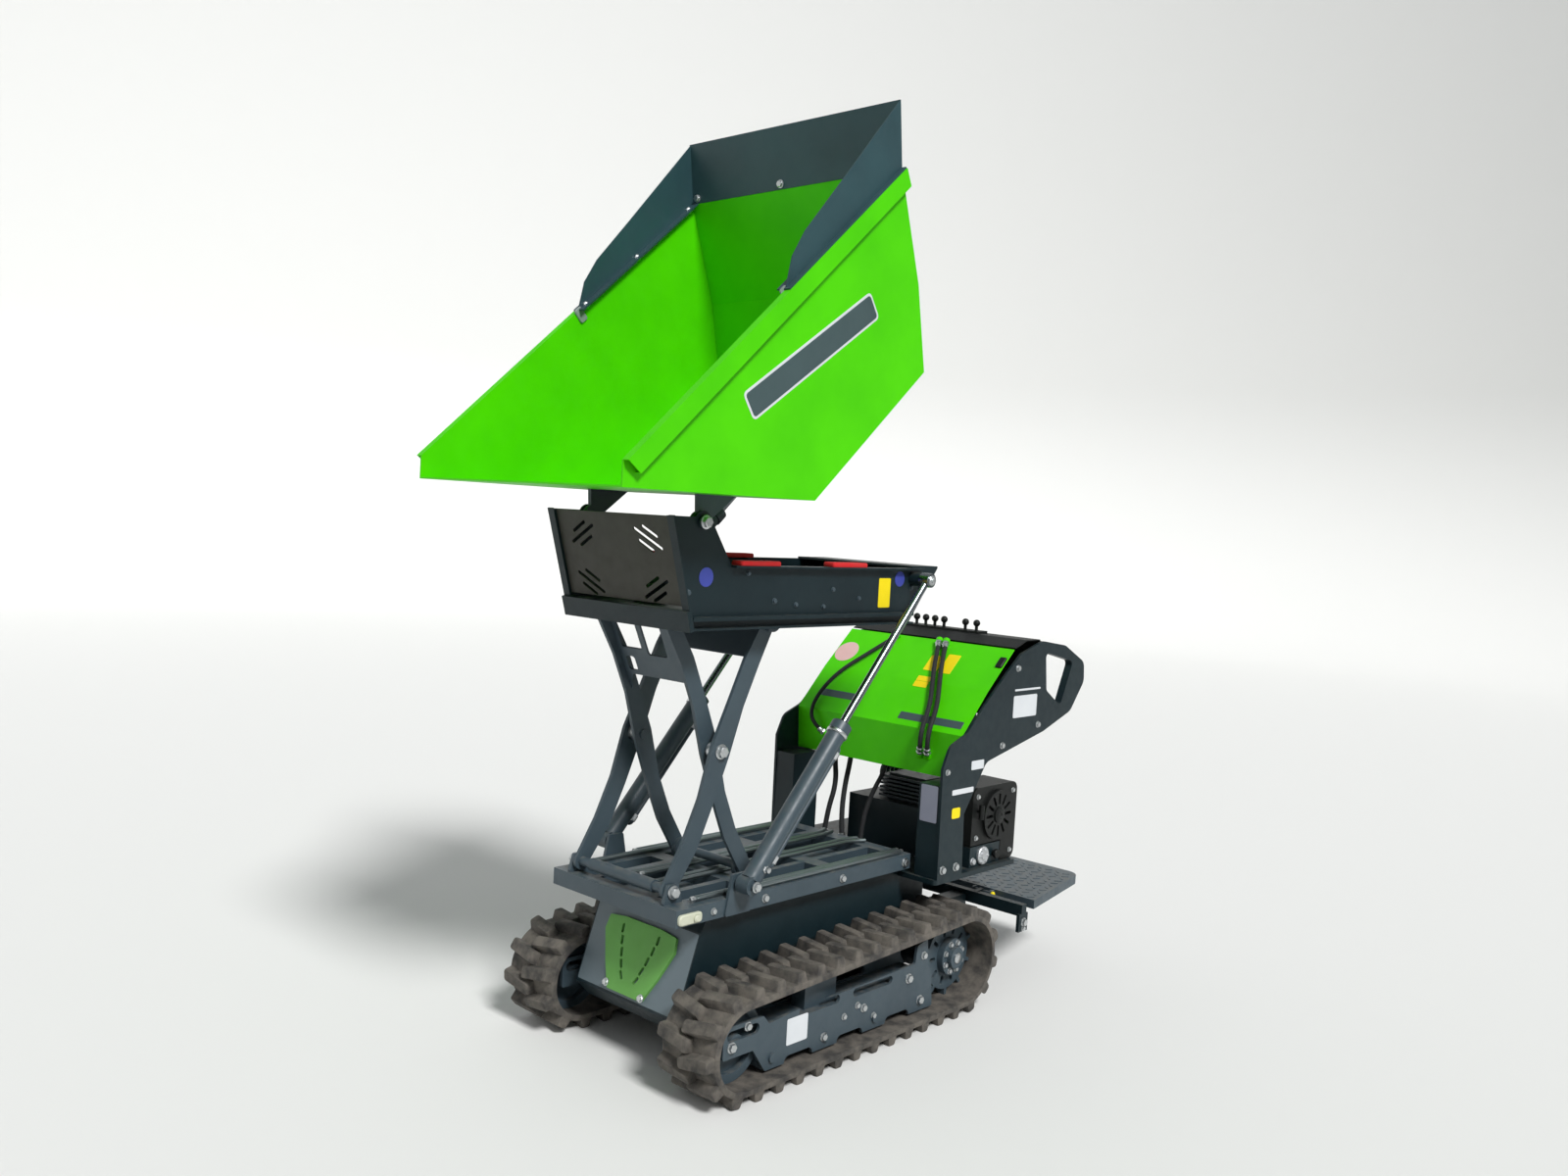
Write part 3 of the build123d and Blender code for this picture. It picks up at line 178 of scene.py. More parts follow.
def ridge(tree, height, depth):
    """Bump from a 0 to 1 height, depth metres deep."""
    return add_node(tree, "ShaderNodeBump", Height=height, Distance=depth, Strength=1.0).outputs[0]


def moulded_rubber(name, code, dusty, share, pores=0.0006):
    """Rubber out of a steel mould: matt, with pores about 4 mm apart that are `pores` metres deep, and
    patches of dry soil or wear about 45 mm across, which cover up to `share` of its colour."""
    material, tree, place = new_finish(name)
    soil = product(tree, blotches(tree, place, 45.5, 0.36, 0.62, 7), share)
    close_finish(tree, Base_Color=blend_colours(tree, soil, code, dusty), Roughness=0.82,
                 Normal=ridge(tree, grain(tree, place, 3.85, 5.0), pores))
    return material


def reach(name):
    """The lowest and the highest X, Y and Z of a node of the frame, in millimetres."""
    points = np.empty(3 * len(node[name].data.vertices), np.float32)
    node[name].data.vertices.foreach_get("co", points)
    points = points.reshape(-1, 3).astype(float) * 1000
    return points.min(axis=0).round(2), points.max(axis=0).round(2)


# Carbon-black tread rubber is grey-brown to the eye, because dry soil stays in its pores.
track_rubber = moulded_rubber("track_rubber", "383634", "6A645C", 0.8)
belt_low, belt_high = reach("track_left")
BELT_HALF, TRACK_MID = (belt_high[0] - belt_low[0]) / 2, (belt_high[0] + belt_low[0]) / 2
BELT_THICK, BLOCK_HIGH, BLOCK_PITCH = 16, 24, 72
BLOCK_FOOT, BLOCK_TOP, BLOCK_SWEEP, BLOCK_INNER = 40, 27, 15, 15
SPROCKET_Y, SPROCKET_Z, SPROCKET_R = 299, 155, 115
IDLER_Y, IDLER_Z, IDLER_R = -589, 137, 97
WHEELBASE = hypot(SPROCKET_Y - IDLER_Y, SPROCKET_Z - IDLER_Z)
TOP_ANGLE = atan2(SPROCKET_Z - IDLER_Z, SPROCKET_Y - IDLER_Y) + acos((IDLER_R - SPROCKET_R) / WHEELBASE)
RUN = sqrt(WHEELBASE ** 2 - (SPROCKET_R - IDLER_R) ** 2)
REAR_ARC = (TOP_ANGLE + pi / 2) * (SPROCKET_R + BELT_THICK)
FRONT_ARC = (3 * pi / 2 - TOP_ANGLE) * (IDLER_R + BELT_THICK)
BELT_LONG = 2 * RUN + REAR_ARC + FRONT_ARC


def on_belt(along, across, height):
    """Points in millimetres: `along` from the front of the lower run, `across` from the track's middle,
    `height` above the belt's outer face. On a run the point moves in a straight line; round a wheel it
    turns about the wheel's centre by the length over the radius."""
    along = np.mod(along, BELT_LONG)
    on_rear = (along >= RUN) & (along < RUN + REAR_ARC)
    on_top = (along >= RUN + REAR_ARC) & (along < 2 * RUN + REAR_ARC)
    on_front = along >= 2 * RUN + REAR_ARC
    past_rear, past_top = along - RUN, along - RUN - REAR_ARC
    past_front = along - 2 * RUN - REAR_ARC
    turn = np.select([on_rear, on_top, on_front],
                     [past_rear / (SPROCKET_R + BELT_THICK) - pi / 2, TOP_ANGLE,
                      TOP_ANGLE + past_front / (IDLER_R + BELT_THICK)], -pi / 2)
    straight = np.select([on_rear, on_top, on_front], [0, past_top, 0], along)
    from_rear = on_rear | on_top
    radius = np.where(from_rear, SPROCKET_R, IDLER_R) + BELT_THICK + height
    y = np.where(from_rear, SPROCKET_Y, IDLER_Y) + radius * np.cos(turn) - straight * np.sin(turn)
    z = np.where(from_rear, SPROCKET_Z, IDLER_Z) + radius * np.sin(turn) + straight * np.cos(turn)
    return np.stack(np.broadcast_arrays(TRACK_MID + across, y, z), axis=-1)


def skin(rings, loop=False):
    """Quads between neighbouring rings of points, and a flat face on each end unless the rings close in a
    loop. They are turned outwards, by the side on which the middles of the rings lie."""
    count, around = rings.shape[:2]
    at = np.arange(count * around).reshape(count, around)
    here, there = (at, np.roll(at, -1, axis=0)) if loop else (at[:-1], at[1:])
    sides = np.stack([here, np.roll(here, -1, 1), np.roll(there, -1, 1), there], axis=-1)
    corners = rings.reshape(-1, 3)[sides]
    middle = rings.mean(axis=1)
    between = (middle[:len(here)] + np.roll(middle, -1, axis=0)[:len(here)]) / 2
    area = np.cross(corners[:, :, 2] - corners[:, :, 0], corners[:, :, 3] - corners[:, :, 1])
    outwards = (area * (corners.mean(axis=2) - between[:, None])).sum() > 0
    faces = sides.reshape(-1, 4).tolist()
    if not loop:
        faces += [at[0][::-1].tolist(), at[-1].tolist()]
    return rings.reshape(-1, 3), faces if outwards else [face[::-1] for face in faces]


SMOOTH_BELOW = radians(35)      # faces that meet at a smaller angle are shaded as one surface


def put_piece(name, skins, finish, body="root"):
    """One object from several skins given in millimetres; it rides on the body."""
    points, faces, count = [], [], 0
    for some_points, some_faces in skins:
        points.append(some_points)
        faces += [[i + count for i in face] for face in some_faces]
        count += len(some_points)
    mesh = bpy.data.meshes.new(name)
    mesh.from_pydata((np.concatenate(points) / 1000).tolist(), [], faces)
    mesh.materials.append(finish)
    mesh.shade_smooth()
    mesh.set_sharp_from_angle(angle=SMOOTH_BELOW)
    piece = bpy.data.objects.new(name, mesh)
    scene.collection.objects.link(piece)
    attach(piece, body)
    return piece


def rounded(long, wide, radius, steps=3):
    """Outline of a rectangle with quarter-circle corners, counter-clockwise, about its middle."""
    turn = np.linspace(0, pi / 2, steps + 1)[None] + np.arange(4)[:, None] * pi / 2
    corner = np.array([(1, 1), (-1, 1), (-1, -1), (1, -1)]) * (long / 2 - radius, wide / 2 - radius)
    return (corner[:, None] + radius * np.stack([np.cos(turn), np.sin(turn)], axis=-1)).reshape(-1, 2)


def mirrored(skins):
    """The same skins on the machine's other side: X changes sign and each face is read backwards."""
    return [(points * (-1, 1, 1), [face[::-1] for face in faces]) for points, faces in skins]


def both_sides(skins):
    """Skins of the left side together with their mirror images."""
    return skins + mirrored(skins)


# the belt's section: across it, and above its outer face, with both outer corners rounded off
rounded_edge = np.array([(BELT_HALF, -BELT_THICK), (BELT_HALF, -4), (BELT_HALF - 2, -1), (BELT_HALF - 6, 0)])
section = np.concatenate([rounded_edge * (-1, 1), rounded_edge[::-1]])
stations = np.linspace(0, BELT_LONG, 150, endpoint=False)
belt = on_belt(stations[:, None], section[None, :, 0], section[None, :, 1])
tread = [skin(belt, loop=True)]
# a block's rings: height above the belt, length along it, and how much narrower than the foot
BLOCK_RINGS = ((-3, BLOCK_FOOT, 0), (4, BLOCK_FOOT - 5, 3), (BLOCK_HIGH - 4, BLOCK_TOP, 5),
               (BLOCK_HIGH - 0.8, BLOCK_TOP - 3, 7), (BLOCK_HIGH, BLOCK_TOP - 8, 12))
blocks = round(BELT_LONG / BLOCK_PITCH)
for phase, inner, outer in ((0.25, BLOCK_INNER, 2 - BELT_HALF), (0.75, -BLOCK_INNER, BELT_HALF - 2)):
    wide = abs(outer - inner)
    for i in range(blocks):
        rings = []
        for height, long, less in BLOCK_RINGS:
            plan = rounded(long, wide - less, 5, 2)
            # the block's inner end lies ahead of its outer end by the whole sweep
            sweep = BLOCK_SWEEP * (0.5 - np.abs(plan[:, 1] * np.sign(outer) + wide / 2) / wide)
            along = BELT_LONG * (i + phase) / blocks + plan[:, 0] + sweep
            rings.append(on_belt(along, (inner + outer) / 2 + plan[:, 1], height))
        tread.append(skin(np.array(rings)))
for side, skins in (("left", tread), ("right", mirrored(tread))):
    belt_piece = put_piece("rubber_track_" + side, skins, track_rubber)
    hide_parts("track_" + side)

# ---------------------------------------------------------------- track frames and wheels
# Two laser-cut plates and a box beam carry the idler, the rollers and the drive sprocket of each track. They
# are mild steel, welded, sprayed with two-pack enamel in slate, and held together with zinc-plated bolts.


def looking_up(tree, low, high):
    """0 on faces that look sideways or down, 1 on faces that look up."""
    normal = add_node(tree, "ShaderNodeNewGeometry").outputs["Normal"]
    facing = add_node(tree, "ShaderNodeSeparateXYZ", Vector=normal)
    return add_node(tree, "ShaderNodeMapRange", n0=facing.outputs[2], n1=low, n2=high).outputs[0]


def sprayed_enamel(name, code, shade, roughness, dust, specular=0.5):
    """Two-pack enamel sprayed on steel: a faint orange peel of about 3 mm, drawn coarser than the real
    1 mm so that it shows, and 0.05 mm deep. Its shade drifts over about 200 mm, and site dust lies in
    specks of about 30 mm, thicker on faces that look up."""
    material, tree, place = new_finish(name)
    colour = blend_colours(tree, blotches(tree, place, 200, 0.35, 0.75), code, shade)
    speck = blotches(tree, place, 29.4, 0.40, 0.72, 6)
    film = product(tree, product(tree, looking_up(tree, 0.5, 1.0), speck), dust)
    colour = blend_colours(tree, film, colour, "8E8679")
    rough = add_node(tree, "ShaderNodeMapRange", n0=speck, n3=roughness,
                     n4=min(1, roughness + 0.14)).outputs[0]
    peel = ridge(tree, grain(tree, place, 3.03, 2.0), 0.00005)
    close_finish(tree, Base_Color=colour, Roughness=rough, Specular_IOR_Level=specular, Normal=peel)
    return material


def printed_foil(name, code, shade, roughness=0.5, dust=0.05, specular=0.5):
    """Printed vinyl foil pressed onto an enamelled face, so the enamel's peel shows through it."""
    return sprayed_enamel(name, code, shade, roughness, dust, specular)


def coat(finish, *names):
    """Gives nodes of the frame their finish."""
    for name in names:
        mesh = node[name].data
        mesh.materials.clear()
        mesh.materials.append(finish)


def bare_metal(name, code, roughness, apart=2.5, depth=0.00002):
    """Bare metal, ground, plated or as cast: one colour, with marks `apart` millimetres from each other
    that are `depth` metres deep and dull the shine unevenly."""
    material, tree, place = new_finish(name)
    marks = grain(tree, place, apart, 4.0)
    rough = add_node(tree, "ShaderNodeMapRange", n0=marks, n1=0.3, n2=0.7, n3=roughness * 0.8,
                     n4=min(1, roughness * 1.3)).outputs[0]
    close_finish(tree, Base_Color=code, Metallic=1.0, Roughness=rough, Normal=ridge(tree, marks, depth))
    return material


OUTWARDS, SIDEWAYS, UPWARDS = (1, 0, 0), (0, 1, 0), (0, 0, 1)


def square_to(axis):
    """The axis as a unit vector, and two unit vectors square to it and to each other."""
    axis = np.array(axis, float) / np.linalg.norm(axis)
    first = np.cross(axis, (0, 0, 1) if abs(axis[2]) < 0.9 else (1, 0, 0))
    first /= np.linalg.norm(first)
    return axis, first, np.cross(axis, first)


def turned(profile, base, axis, around=20):
    """A shape turned about a line: each ring of the profile is (distance along the axis, radius), and its
    points stand at base + axis times the distance + the radius times the cosine and sine of the turn."""
    axis, first, second = square_to(axis)
    profile = np.array(profile, float)
    turn = np.linspace(0, 2 * pi, around, endpoint=False)
    spokes = np.cos(turn)[:, None] * first + np.sin(turn)[:, None] * second
    return skin(np.array(base) + profile[:, 0, None, None] * axis + profile[:, 1, None, None] * spokes)


def bolt(base, axis, size):
    """A hexagon bolt of thread diameter `size`: a washer, and a six-sided head 1.8 sizes over its corners
    with its top bevelled."""
    washer = [(0, 1.12 * size), (0.16 * size, 1.12 * size), (0.2 * size, 1.04 * size)]
    head = [(0.15 * size, 0.9 * size), (0.76 * size, 0.9 * size), (0.85 * size, 0.76 * size)]
    return [turned(washer, base, axis), turned(head, base, axis, 6)]


def side_bolts(face, places):
    """Bolts on a face at X = `face` that looks to the left; each place is its Y, its Z and its thread."""
    return [part for y, z, size in places for part in bolt((face, y, z), OUTWARDS, size)]


def put_pair(name, skins, finish, body="root"):
    """The left piece and its mirror image on the right; a body's name that ends in _ takes the side too."""
    for side, some_skins in (("left", skins), ("right", mirrored(skins))):
        put_piece(name + "_" + side, some_skins, finish, body + side if body.endswith("_") else body)


def plate(middle, along, across, long, wide, thick=1.2, radius=4):
    """A flat plate with round corners: its outline in the plane of `along` and `across`, raised by its
    thickness, its upper edge bevelled by a third of that."""
    along, across = (np.array(v, float) / np.linalg.norm(v) for v in (along, across))
    out = np.cross(along, across)
    rings = []
    for high, less in ((0, 0), (thick * 0.67, 0), (thick, thick * 0.33)):
        line = rounded(long - 2 * less, wide - 2 * less, max(radius - less, 0.2))
        rings.append(np.array(middle) + line[:, :1] * along + line[:, 1:] * across + high * out)
    return skin(np.array(rings))


# Slate enamel is satin, so edges take a soft highlight; the deeper slate is the same film made nearly black
# as painted shade, for the chassis, tray, console and engine, which lie in shadow. Zinc plate is bright and a
# little cloudy, and the foil is an even white without shine.
slate_enamel = sprayed_enamel("slate_enamel", "3C4A52", "344149", 0.42, 0.35)
slate_in_painted_shade = sprayed_enamel("slate_enamel_in_painted_shade", "15252A", "111F24", 0.38, 0.2, 0.3)
zinc_plate = bare_metal("zinc_plated_steel", "C9CCCD", 0.32, 2)
white_foil = printed_foil("white_printed_foil", "D5D8DB", "C9CDD1")
coat(slate_enamel, "track_frame_left", "track_frame_right", "idler_left", "idler_right", "rollers_left",
     "rollers_right", "sprocket_left", "sprocket_right")

FRAME_FACE = 352        # X of the outer plate's face
put_pair("frame_bolts", side_bolts(FRAME_FACE, (
    (-124, 115, 10), (-203, 111, 8), (-80, 84, 8), (-280, 78, 10), (122, 78, 12),
    (-150, 128, 8), (-560, 176, 10), (-612, 138, 12), (66, 150, 12), (130, 200, 10))), zinc_plate)
HUB_FACE, HUB_RIM_FACE = reach("sprocket_left")[1][0], 334
HUB_BOLTS, HUB_BOLT_RING, HUB_THREAD = 8, 41, 8
hub = [turned([(0, 15), (3, 15), (5, 12)], (HUB_FACE, SPROCKET_Y, SPROCKET_Z), OUTWARDS, 24)]
for i in range(HUB_BOLTS):
    turn = 2 * pi * (i + 0.5) / HUB_BOLTS
    hub += side_bolts(HUB_RIM_FACE, [(SPROCKET_Y + HUB_BOLT_RING * cos(turn),
                                      SPROCKET_Z + HUB_BOLT_RING * sin(turn), HUB_THREAD)])
put_pair("hub_bolts", hub, zinc_plate)
put_piece("frame_blank_plate", [plate((FRAME_FACE, -382, 124), SIDEWAYS, UPWARDS, 76, 66)], white_foil)

# ---------------------------------------------------------------- chassis and nose guard
# A folded and welded steel box between the tracks carries the deck. Its nose slopes under a thin sheet of
# lighter slate, which paints the light that falls on the nose, and a six-cornered guard is bolted over that.

# The guard's lime enamel is dull and pale with road dust. The sheet's slate is a shade lighter than the box:
# painted light, where the lamp falls on the nose.
dusty_lime = sprayed_enamel("dusty_lime_enamel", "6CAB55", "62994B", 0.55, 0.25, 0.3)
slate_in_painted_light = sprayed_enamel("slate_enamel_in_painted_light", "66737A", "5C696F", 0.45, 0.2)
# The chassis and hitch take the slate darkened to near black, which paints the shade between the tracks and
# under the deck.
coat(slate_in_painted_shade, "chassis", "tow_hitch")
coat(dusty_lime, "belly_guard")
NOSE_FOLD, NOSE_TOP = np.array((0, reach("chassis")[0][1], 152)), np.array((0, -572, 358))
GUARD_FACE, GUARD_THREAD = 8.3, 9
SHEET_MIDDLE, SHEET_WIDE, SHEET_HIGH, SHEET_THICK = 110, 372, 206, 0.25
nose_up = (NOSE_TOP - NOSE_FOLD) / np.linalg.norm(NOSE_TOP - NOSE_FOLD)
nose_out = np.cross(OUTWARDS, nose_up)
guard_bolts = []
for x, up in ((-72, 26), (62, 22)):
    guard_bolts += bolt(NOSE_FOLD + nose_up * up + nose_out * GUARD_FACE + (x, 0, 0), nose_out, GUARD_THREAD)
put_piece("guard_bolts", guard_bolts, zinc_plate)
# a thin sheet of lighter slate on the nose: painted light on the lit nose
put_piece("nose_painted_light_sheet", [plate(NOSE_FOLD + nose_up * SHEET_MIDDLE, OUTWARDS, nose_up, SHEET_WIDE, SHEET_HIGH,
                               SHEET_THICK)], slate_in_painted_light)

# ---------------------------------------------------------------- deck and its pipes
# The deck is a welded grid of box rails that the scissor stands and rolls on. Zinc-plated steel pipes lie on
# its rails and take oil from the valve block to the rams, with union nuts at their ends.


def pipe(points, radius, bend=30, around=14):
    """A round pipe along a line of points. Each corner becomes an arc that starts `bend` before it, as a
    quadratic curve through the three points start, corner and end; rings stand square to the line."""
    points = np.array(points, float)
    share = np.linspace(0, 1, 6)[:, None]
    line = [points[:1]]
    for before, corner, after in zip(points, points[1:], points[2:]):
        start = corner + (before - corner) / np.linalg.norm(before - corner) * bend
        end = corner + (after - corner) / np.linalg.norm(after - corner) * bend
        line.append((1 - share) ** 2 * start + 2 * share * (1 - share) * corner + share ** 2 * end)
    line = np.concatenate(line + [points[-1:]])
    ahead = np.gradient(line, axis=0)
    ahead /= np.linalg.norm(ahead, axis=1)[:, None]
    spread = np.abs(points.max(axis=0) - points.min(axis=0))
    level = np.eye(3)[spread.argmin()]
    first = np.cross(ahead, level)
    first /= np.linalg.norm(first, axis=1)[:, None]
    second = np.cross(ahead, first)
    turn = np.linspace(0, 2 * pi, around, endpoint=False)
    spokes = np.cos(turn)[None, :, None] * first[:, None] + np.sin(turn)[None, :, None] * second[:, None]
    return skin(line[:, None] + radius * spokes)


def union_nut(base, axis, across, long=16):
    """A pipe's union: a hexagon nut with both ends bevelled, and a round collar behind it."""
    half = across / 2
    return [turned([(0, half - 2), (2, half), (long - 2, half), (long, half - 2)], base, axis, 6),
            turned([(long - 1, half - 3), (long + 8, half - 3), (long + 9, half - 5)], base, axis)]


# Passivated zinc on the pipes is greyer and duller than on bolts. The corner casting's cream enamel is dull
# and has yellowed.
pipe_zinc = bare_metal("passivated_zinc_pipe", "8D9799", 0.38, 3.33)
cream_casting = sprayed_enamel("cream_enamelled_cast_iron", "C4C6B2", "AFB29E", 0.6, 0.3)
coat(slate_enamel, "deck_frame")
DECK_TOP, DECK_SIDE, DECK_REAR, DECK_BOLTS_Z = 446, 232, 190, 424
PIPE_OFF, NUT_AHEAD = 0.3, 14       # the pipes' clearance over the deck, and how far the nuts reach past them
pipes, unions = [], []
# each row: X, radius, and Y of the front end
for x, radius, front in ((-62, 6, -610), (-40, 6, -560), (34, 6, -580), (58, 6, -620)):
    high = DECK_TOP + radius + PIPE_OFF
    # the middle pipes spread by three tenths where they come to the valve block
    pipes.append(pipe(((x, front, high), (x, DECK_REAR - 40, high), (x * 1.3, DECK_REAR, high)), radius))
    unions += union_nut((x, front - NUT_AHEAD, high), (0, 1, 0), 11.5)
for x, radius, front in ((201, 7, -610), (217, 7, -430)):
    high = DECK_TOP + radius + PIPE_OFF
    pipes += both_sides([pipe(((x, front, high), (x, DECK_REAR - 20, high)), radius)])
    unions += both_sides(union_nut((x, front - NUT_AHEAD, high), (0, 1, 0), 13.5)
                         + union_nut((x, DECK_REAR - 8, high), (0, -1, 0), 13.5))
put_piece("deck_pipes", pipes, pipe_zinc)
put_piece("deck_unions", unions, zinc_plate)
deck_bolts = side_bolts(DECK_SIDE, [(y, DECK_BOLTS_Z, size) for y, size in (
    (-640, 10), (-395, 10), (-95, 10), (178, 12), (-575, 8))])
put_piece("deck_side_bolts", both_sides(deck_bolts), zinc_plate)
CASTING_Z, CASTING_THICK = 422, 9
put_piece("deck_corner_casting", [
    plate((DECK_SIDE, -655, CASTING_Z), SIDEWAYS, UPWARDS, 74, 26, CASTING_THICK, 9),
    turned([(0, 9), (5, 9), (8, 6)], (DECK_SIDE + CASTING_THICK, -640, CASTING_Z), OUTWARDS)], cream_casting)

# ---------------------------------------------------------------- scissor lift
# Two pairs of laser-cut arms cross at a pin. The front feet turn in lugs, the others roll on the rails. The
# pins' ends carry bolts, and a zinc-plated collar spaces each pair apart at the crossing.
coat(slate_enamel, "scissor_arm_a", "scissor_arm_b")
# the middle of each hinge's pin; slides have none
pin = {joint["name"]: np.array(joint["pos_m"]) * 1000 for joint in frame["joints"] if "pos_m" in joint}
foot, crossing, head = pin["lift"][1:], pin["arm_cross"][1:], pin["tray_level"][1:]
roller = 2 * crossing - foot        # arm A's upper end, as far past the crossing as its foot is before it
PIN_END, ARM_FACE = reach("scissor_arm_a")[1][0], 168
PIN_THREAD, CROSSING_THREAD = 15, 17
arm_a_ends = side_bolts(PIN_END, [(*foot, PIN_THREAD), (*roller, PIN_THREAD)])
arm_a_ends += side_bolts(ARM_FACE, [(*crossing, CROSSING_THREAD)])
collar = [(136, 19), (136, 20.6), (157, 20.6), (157, 19)]
arm_a_ends.append(turned(collar, (0, *crossing), OUTWARDS, 28))
put_piece("arm_a_pin_bolts", both_sides(arm_a_ends), zinc_plate, "arm_a")
put_piece("arm_b_pin_bolts", both_sides(side_bolts(PIN_END, [(*head, PIN_THREAD)])), zinc_plate, "arm_b")

# ---------------------------------------------------------------- lift rams
# One double-acting ram on each side lifts the tray: a drawn steel barrel in slate enamel, a hard-chromed rod,
# unions for the pipe under the barrel, and a rubber wiper where the rod goes in.

# Hard chrome is the smoothest metal here and mirrors its surroundings in long streaks. Wiper rubber is black
# and even, with no soil in it.
chrome_rod = bare_metal("hard_chromed_rod", "7F868A", 0.24)
wiper_rubber = moulded_rubber("wiper_rubber", "141515", "232424", 0.3, 0.0002)
coat(slate_enamel, "lift_barrel_left", "lift_barrel_right", "tip_barrel")
coat(chrome_rod, "lift_rod_left", "lift_rod_right", "tip_rod")
# places along a ram from its base pin: its port, its pipe's two ends, its gland, its mouth and its eye
RAM_PORT, RAM_PIPE_ENDS, RAM_GLAND, RAM_MOUTH, RAM_EYE = 50, (84, 424), 455, 486, 986.2
RAM_PIPE_OFF, RAM_PORT_OFF, LUG_HALF, EYE_HALF = 38, 17.6, 28, 15
joints = {joint["name"]: joint for joint in frame["joints"]}
ram_line = np.array(joints["lift_rod_slide_left"]["axis"])
ram_under = np.array((0, ram_line[2], -ram_line[1]))
ram_base = pin["lift_cylinder_left"]
ram_eye = ram_base + RAM_EYE * ram_line
ram_unions = []
for along, way in zip(RAM_PIPE_ENDS, (1, -1)):
    ram_unions += union_nut(ram_base + RAM_PIPE_OFF * ram_under + along * ram_line, way * ram_line, 17, 22)
ram_unions += [turned([(-3, 27), (0, 29), (5, 29), (8, 27)], ram_base + RAM_GLAND * ram_line, ram_line, 32)]
ram_unions += union_nut(ram_base + RAM_PORT * ram_line + (RAM_PORT_OFF, 0, 0), OUTWARDS, 20, 12)
wiper = [turned([(0, 24), (3, 24), (5, 14), (5, 11.2)], ram_base + RAM_MOUTH * ram_line, ram_line, 28)]
eye_washer = turned([(0, 14), (3, 14), (4, 13)], ram_eye + (EYE_HALF, 0, 0), OUTWARDS, 28)
put_pair("ram_unions", ram_unions, zinc_plate, "lift_barrel_")
put_pair("ram_wiper", wiper, wiper_rubber, "lift_barrel_")
put_pair("ram_base_pin", bolt(ram_base + (LUG_HALF, 0, 0), OUTWARDS, 12), zinc_plate)
put_pair("ram_eye_pin", [eye_washer] + bolt(ram_eye + (EYE_HALF + 3, 0, 0), OUTWARDS, 9), zinc_plate, "tray")

# ---------------------------------------------------------------- tray
# A folded and welded steel tray on top of the scissor. Its front is closed by a slotted panel in umber grey,
# which is painted shade with a brownish painted reflection, and the skip comes down on four moulded red
# rubber pads, two on each side.

# The umber enamel is matter than the slate; its dark brownish grey is painted shade and painted reflection.
# The pads' red rubber is even and a little bleached.
umber_painted_shade = sprayed_enamel("umber_grey_painted_shade", "3A3832", "33312C", 0.5, 0.1, 0.3)
blue_foil = printed_foil("blue_printed_foil", "3A45A0", "333D8E", 0.45)
yellow_foil = printed_foil("yellow_printed_foil", "F2DA0C", "E2CA10", 0.5, 0.02, 0.3)
pad_rubber = moulded_rubber("red_pad_rubber", "C8161C", "A83A36", 0.25, 0.0002)
# The tray frame takes the slate darkened to near black, which paints the skip's shadow on it.
coat(slate_in_painted_shade, "tray_frame")
# the panel's umber grey paints the shade under the skip and a brownish reflection
coat(umber_painted_shade, "front_panel")
pads_low, pads_high = reach("rest_pads")
PAD_WIDE, PAD_LONG, PAD_CORNER, PAD_HIGH = 40, 140, 7, pads_high[2] - pads_low[2]
pads = []
for y in (pads_low[1] + PAD_LONG / 2, pads_high[1] - PAD_LONG / 2):
    rings = []
    # a pad's rings: height above the tray, and how far the ring is drawn in
    for high, less in ((0, 0.5), (1, 0), (PAD_HIGH - 4, 0), (PAD_HIGH - 1, 1.2), (PAD_HIGH, 4)):
        line = rounded(PAD_WIDE - 2 * less, PAD_LONG - 2 * less, PAD_CORNER - less, 4)
        level = np.full(len(line), pads_low[2] + high)
        rings.append(np.column_stack([pads_high[0] - PAD_WIDE / 2 + line[:, 0], y + line[:, 1], level]))
    pads.append(skin(np.array(rings)))
pads_piece = put_piece("rubber_rest_pads", both_sides(pads), pad_rubber, "tray")
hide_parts("rest_pads")
TRAY_FACE = 214
discs = [turned([(0, radius), (0.8, radius), (1.2, radius - 0.5)], (TRAY_FACE, y, z), OUTWARDS, 40)
         for y, z, radius in ((-642, 1226, 23), (97, 1224, 21))]
put_piece("tray_blank_discs", discs, blue_foil, "tray")
put_piece("tray_blank_patch", [plate((TRAY_FACE, 32, 1186), SIDEWAYS, UPWARDS, 50, 80)], yellow_foil, "tray")
tray_bolts = side_bolts(TRAY_FACE, (
    (-698, 1190, 7), (-501, 1236, 6), (-404, 1168, 7), (-324, 1158, 6), (-218, 1152, 6),
    (-183, 1196, 6), (-76, 1172, 6), (150, 1200, 7)))
put_piece("tray_side_bolts", both_sides(tray_bolts), slate_enamel, "tray")

# ---------------------------------------------------------------- skip
# A welded sheet steel skip in lime enamel. A folded rim stiffens each side wall, with a deep groove under it,
# and a strip of dark lime laid there paints the shadow that the rim casts. A bolted extension in blue-black
# enamel raises its rear half.

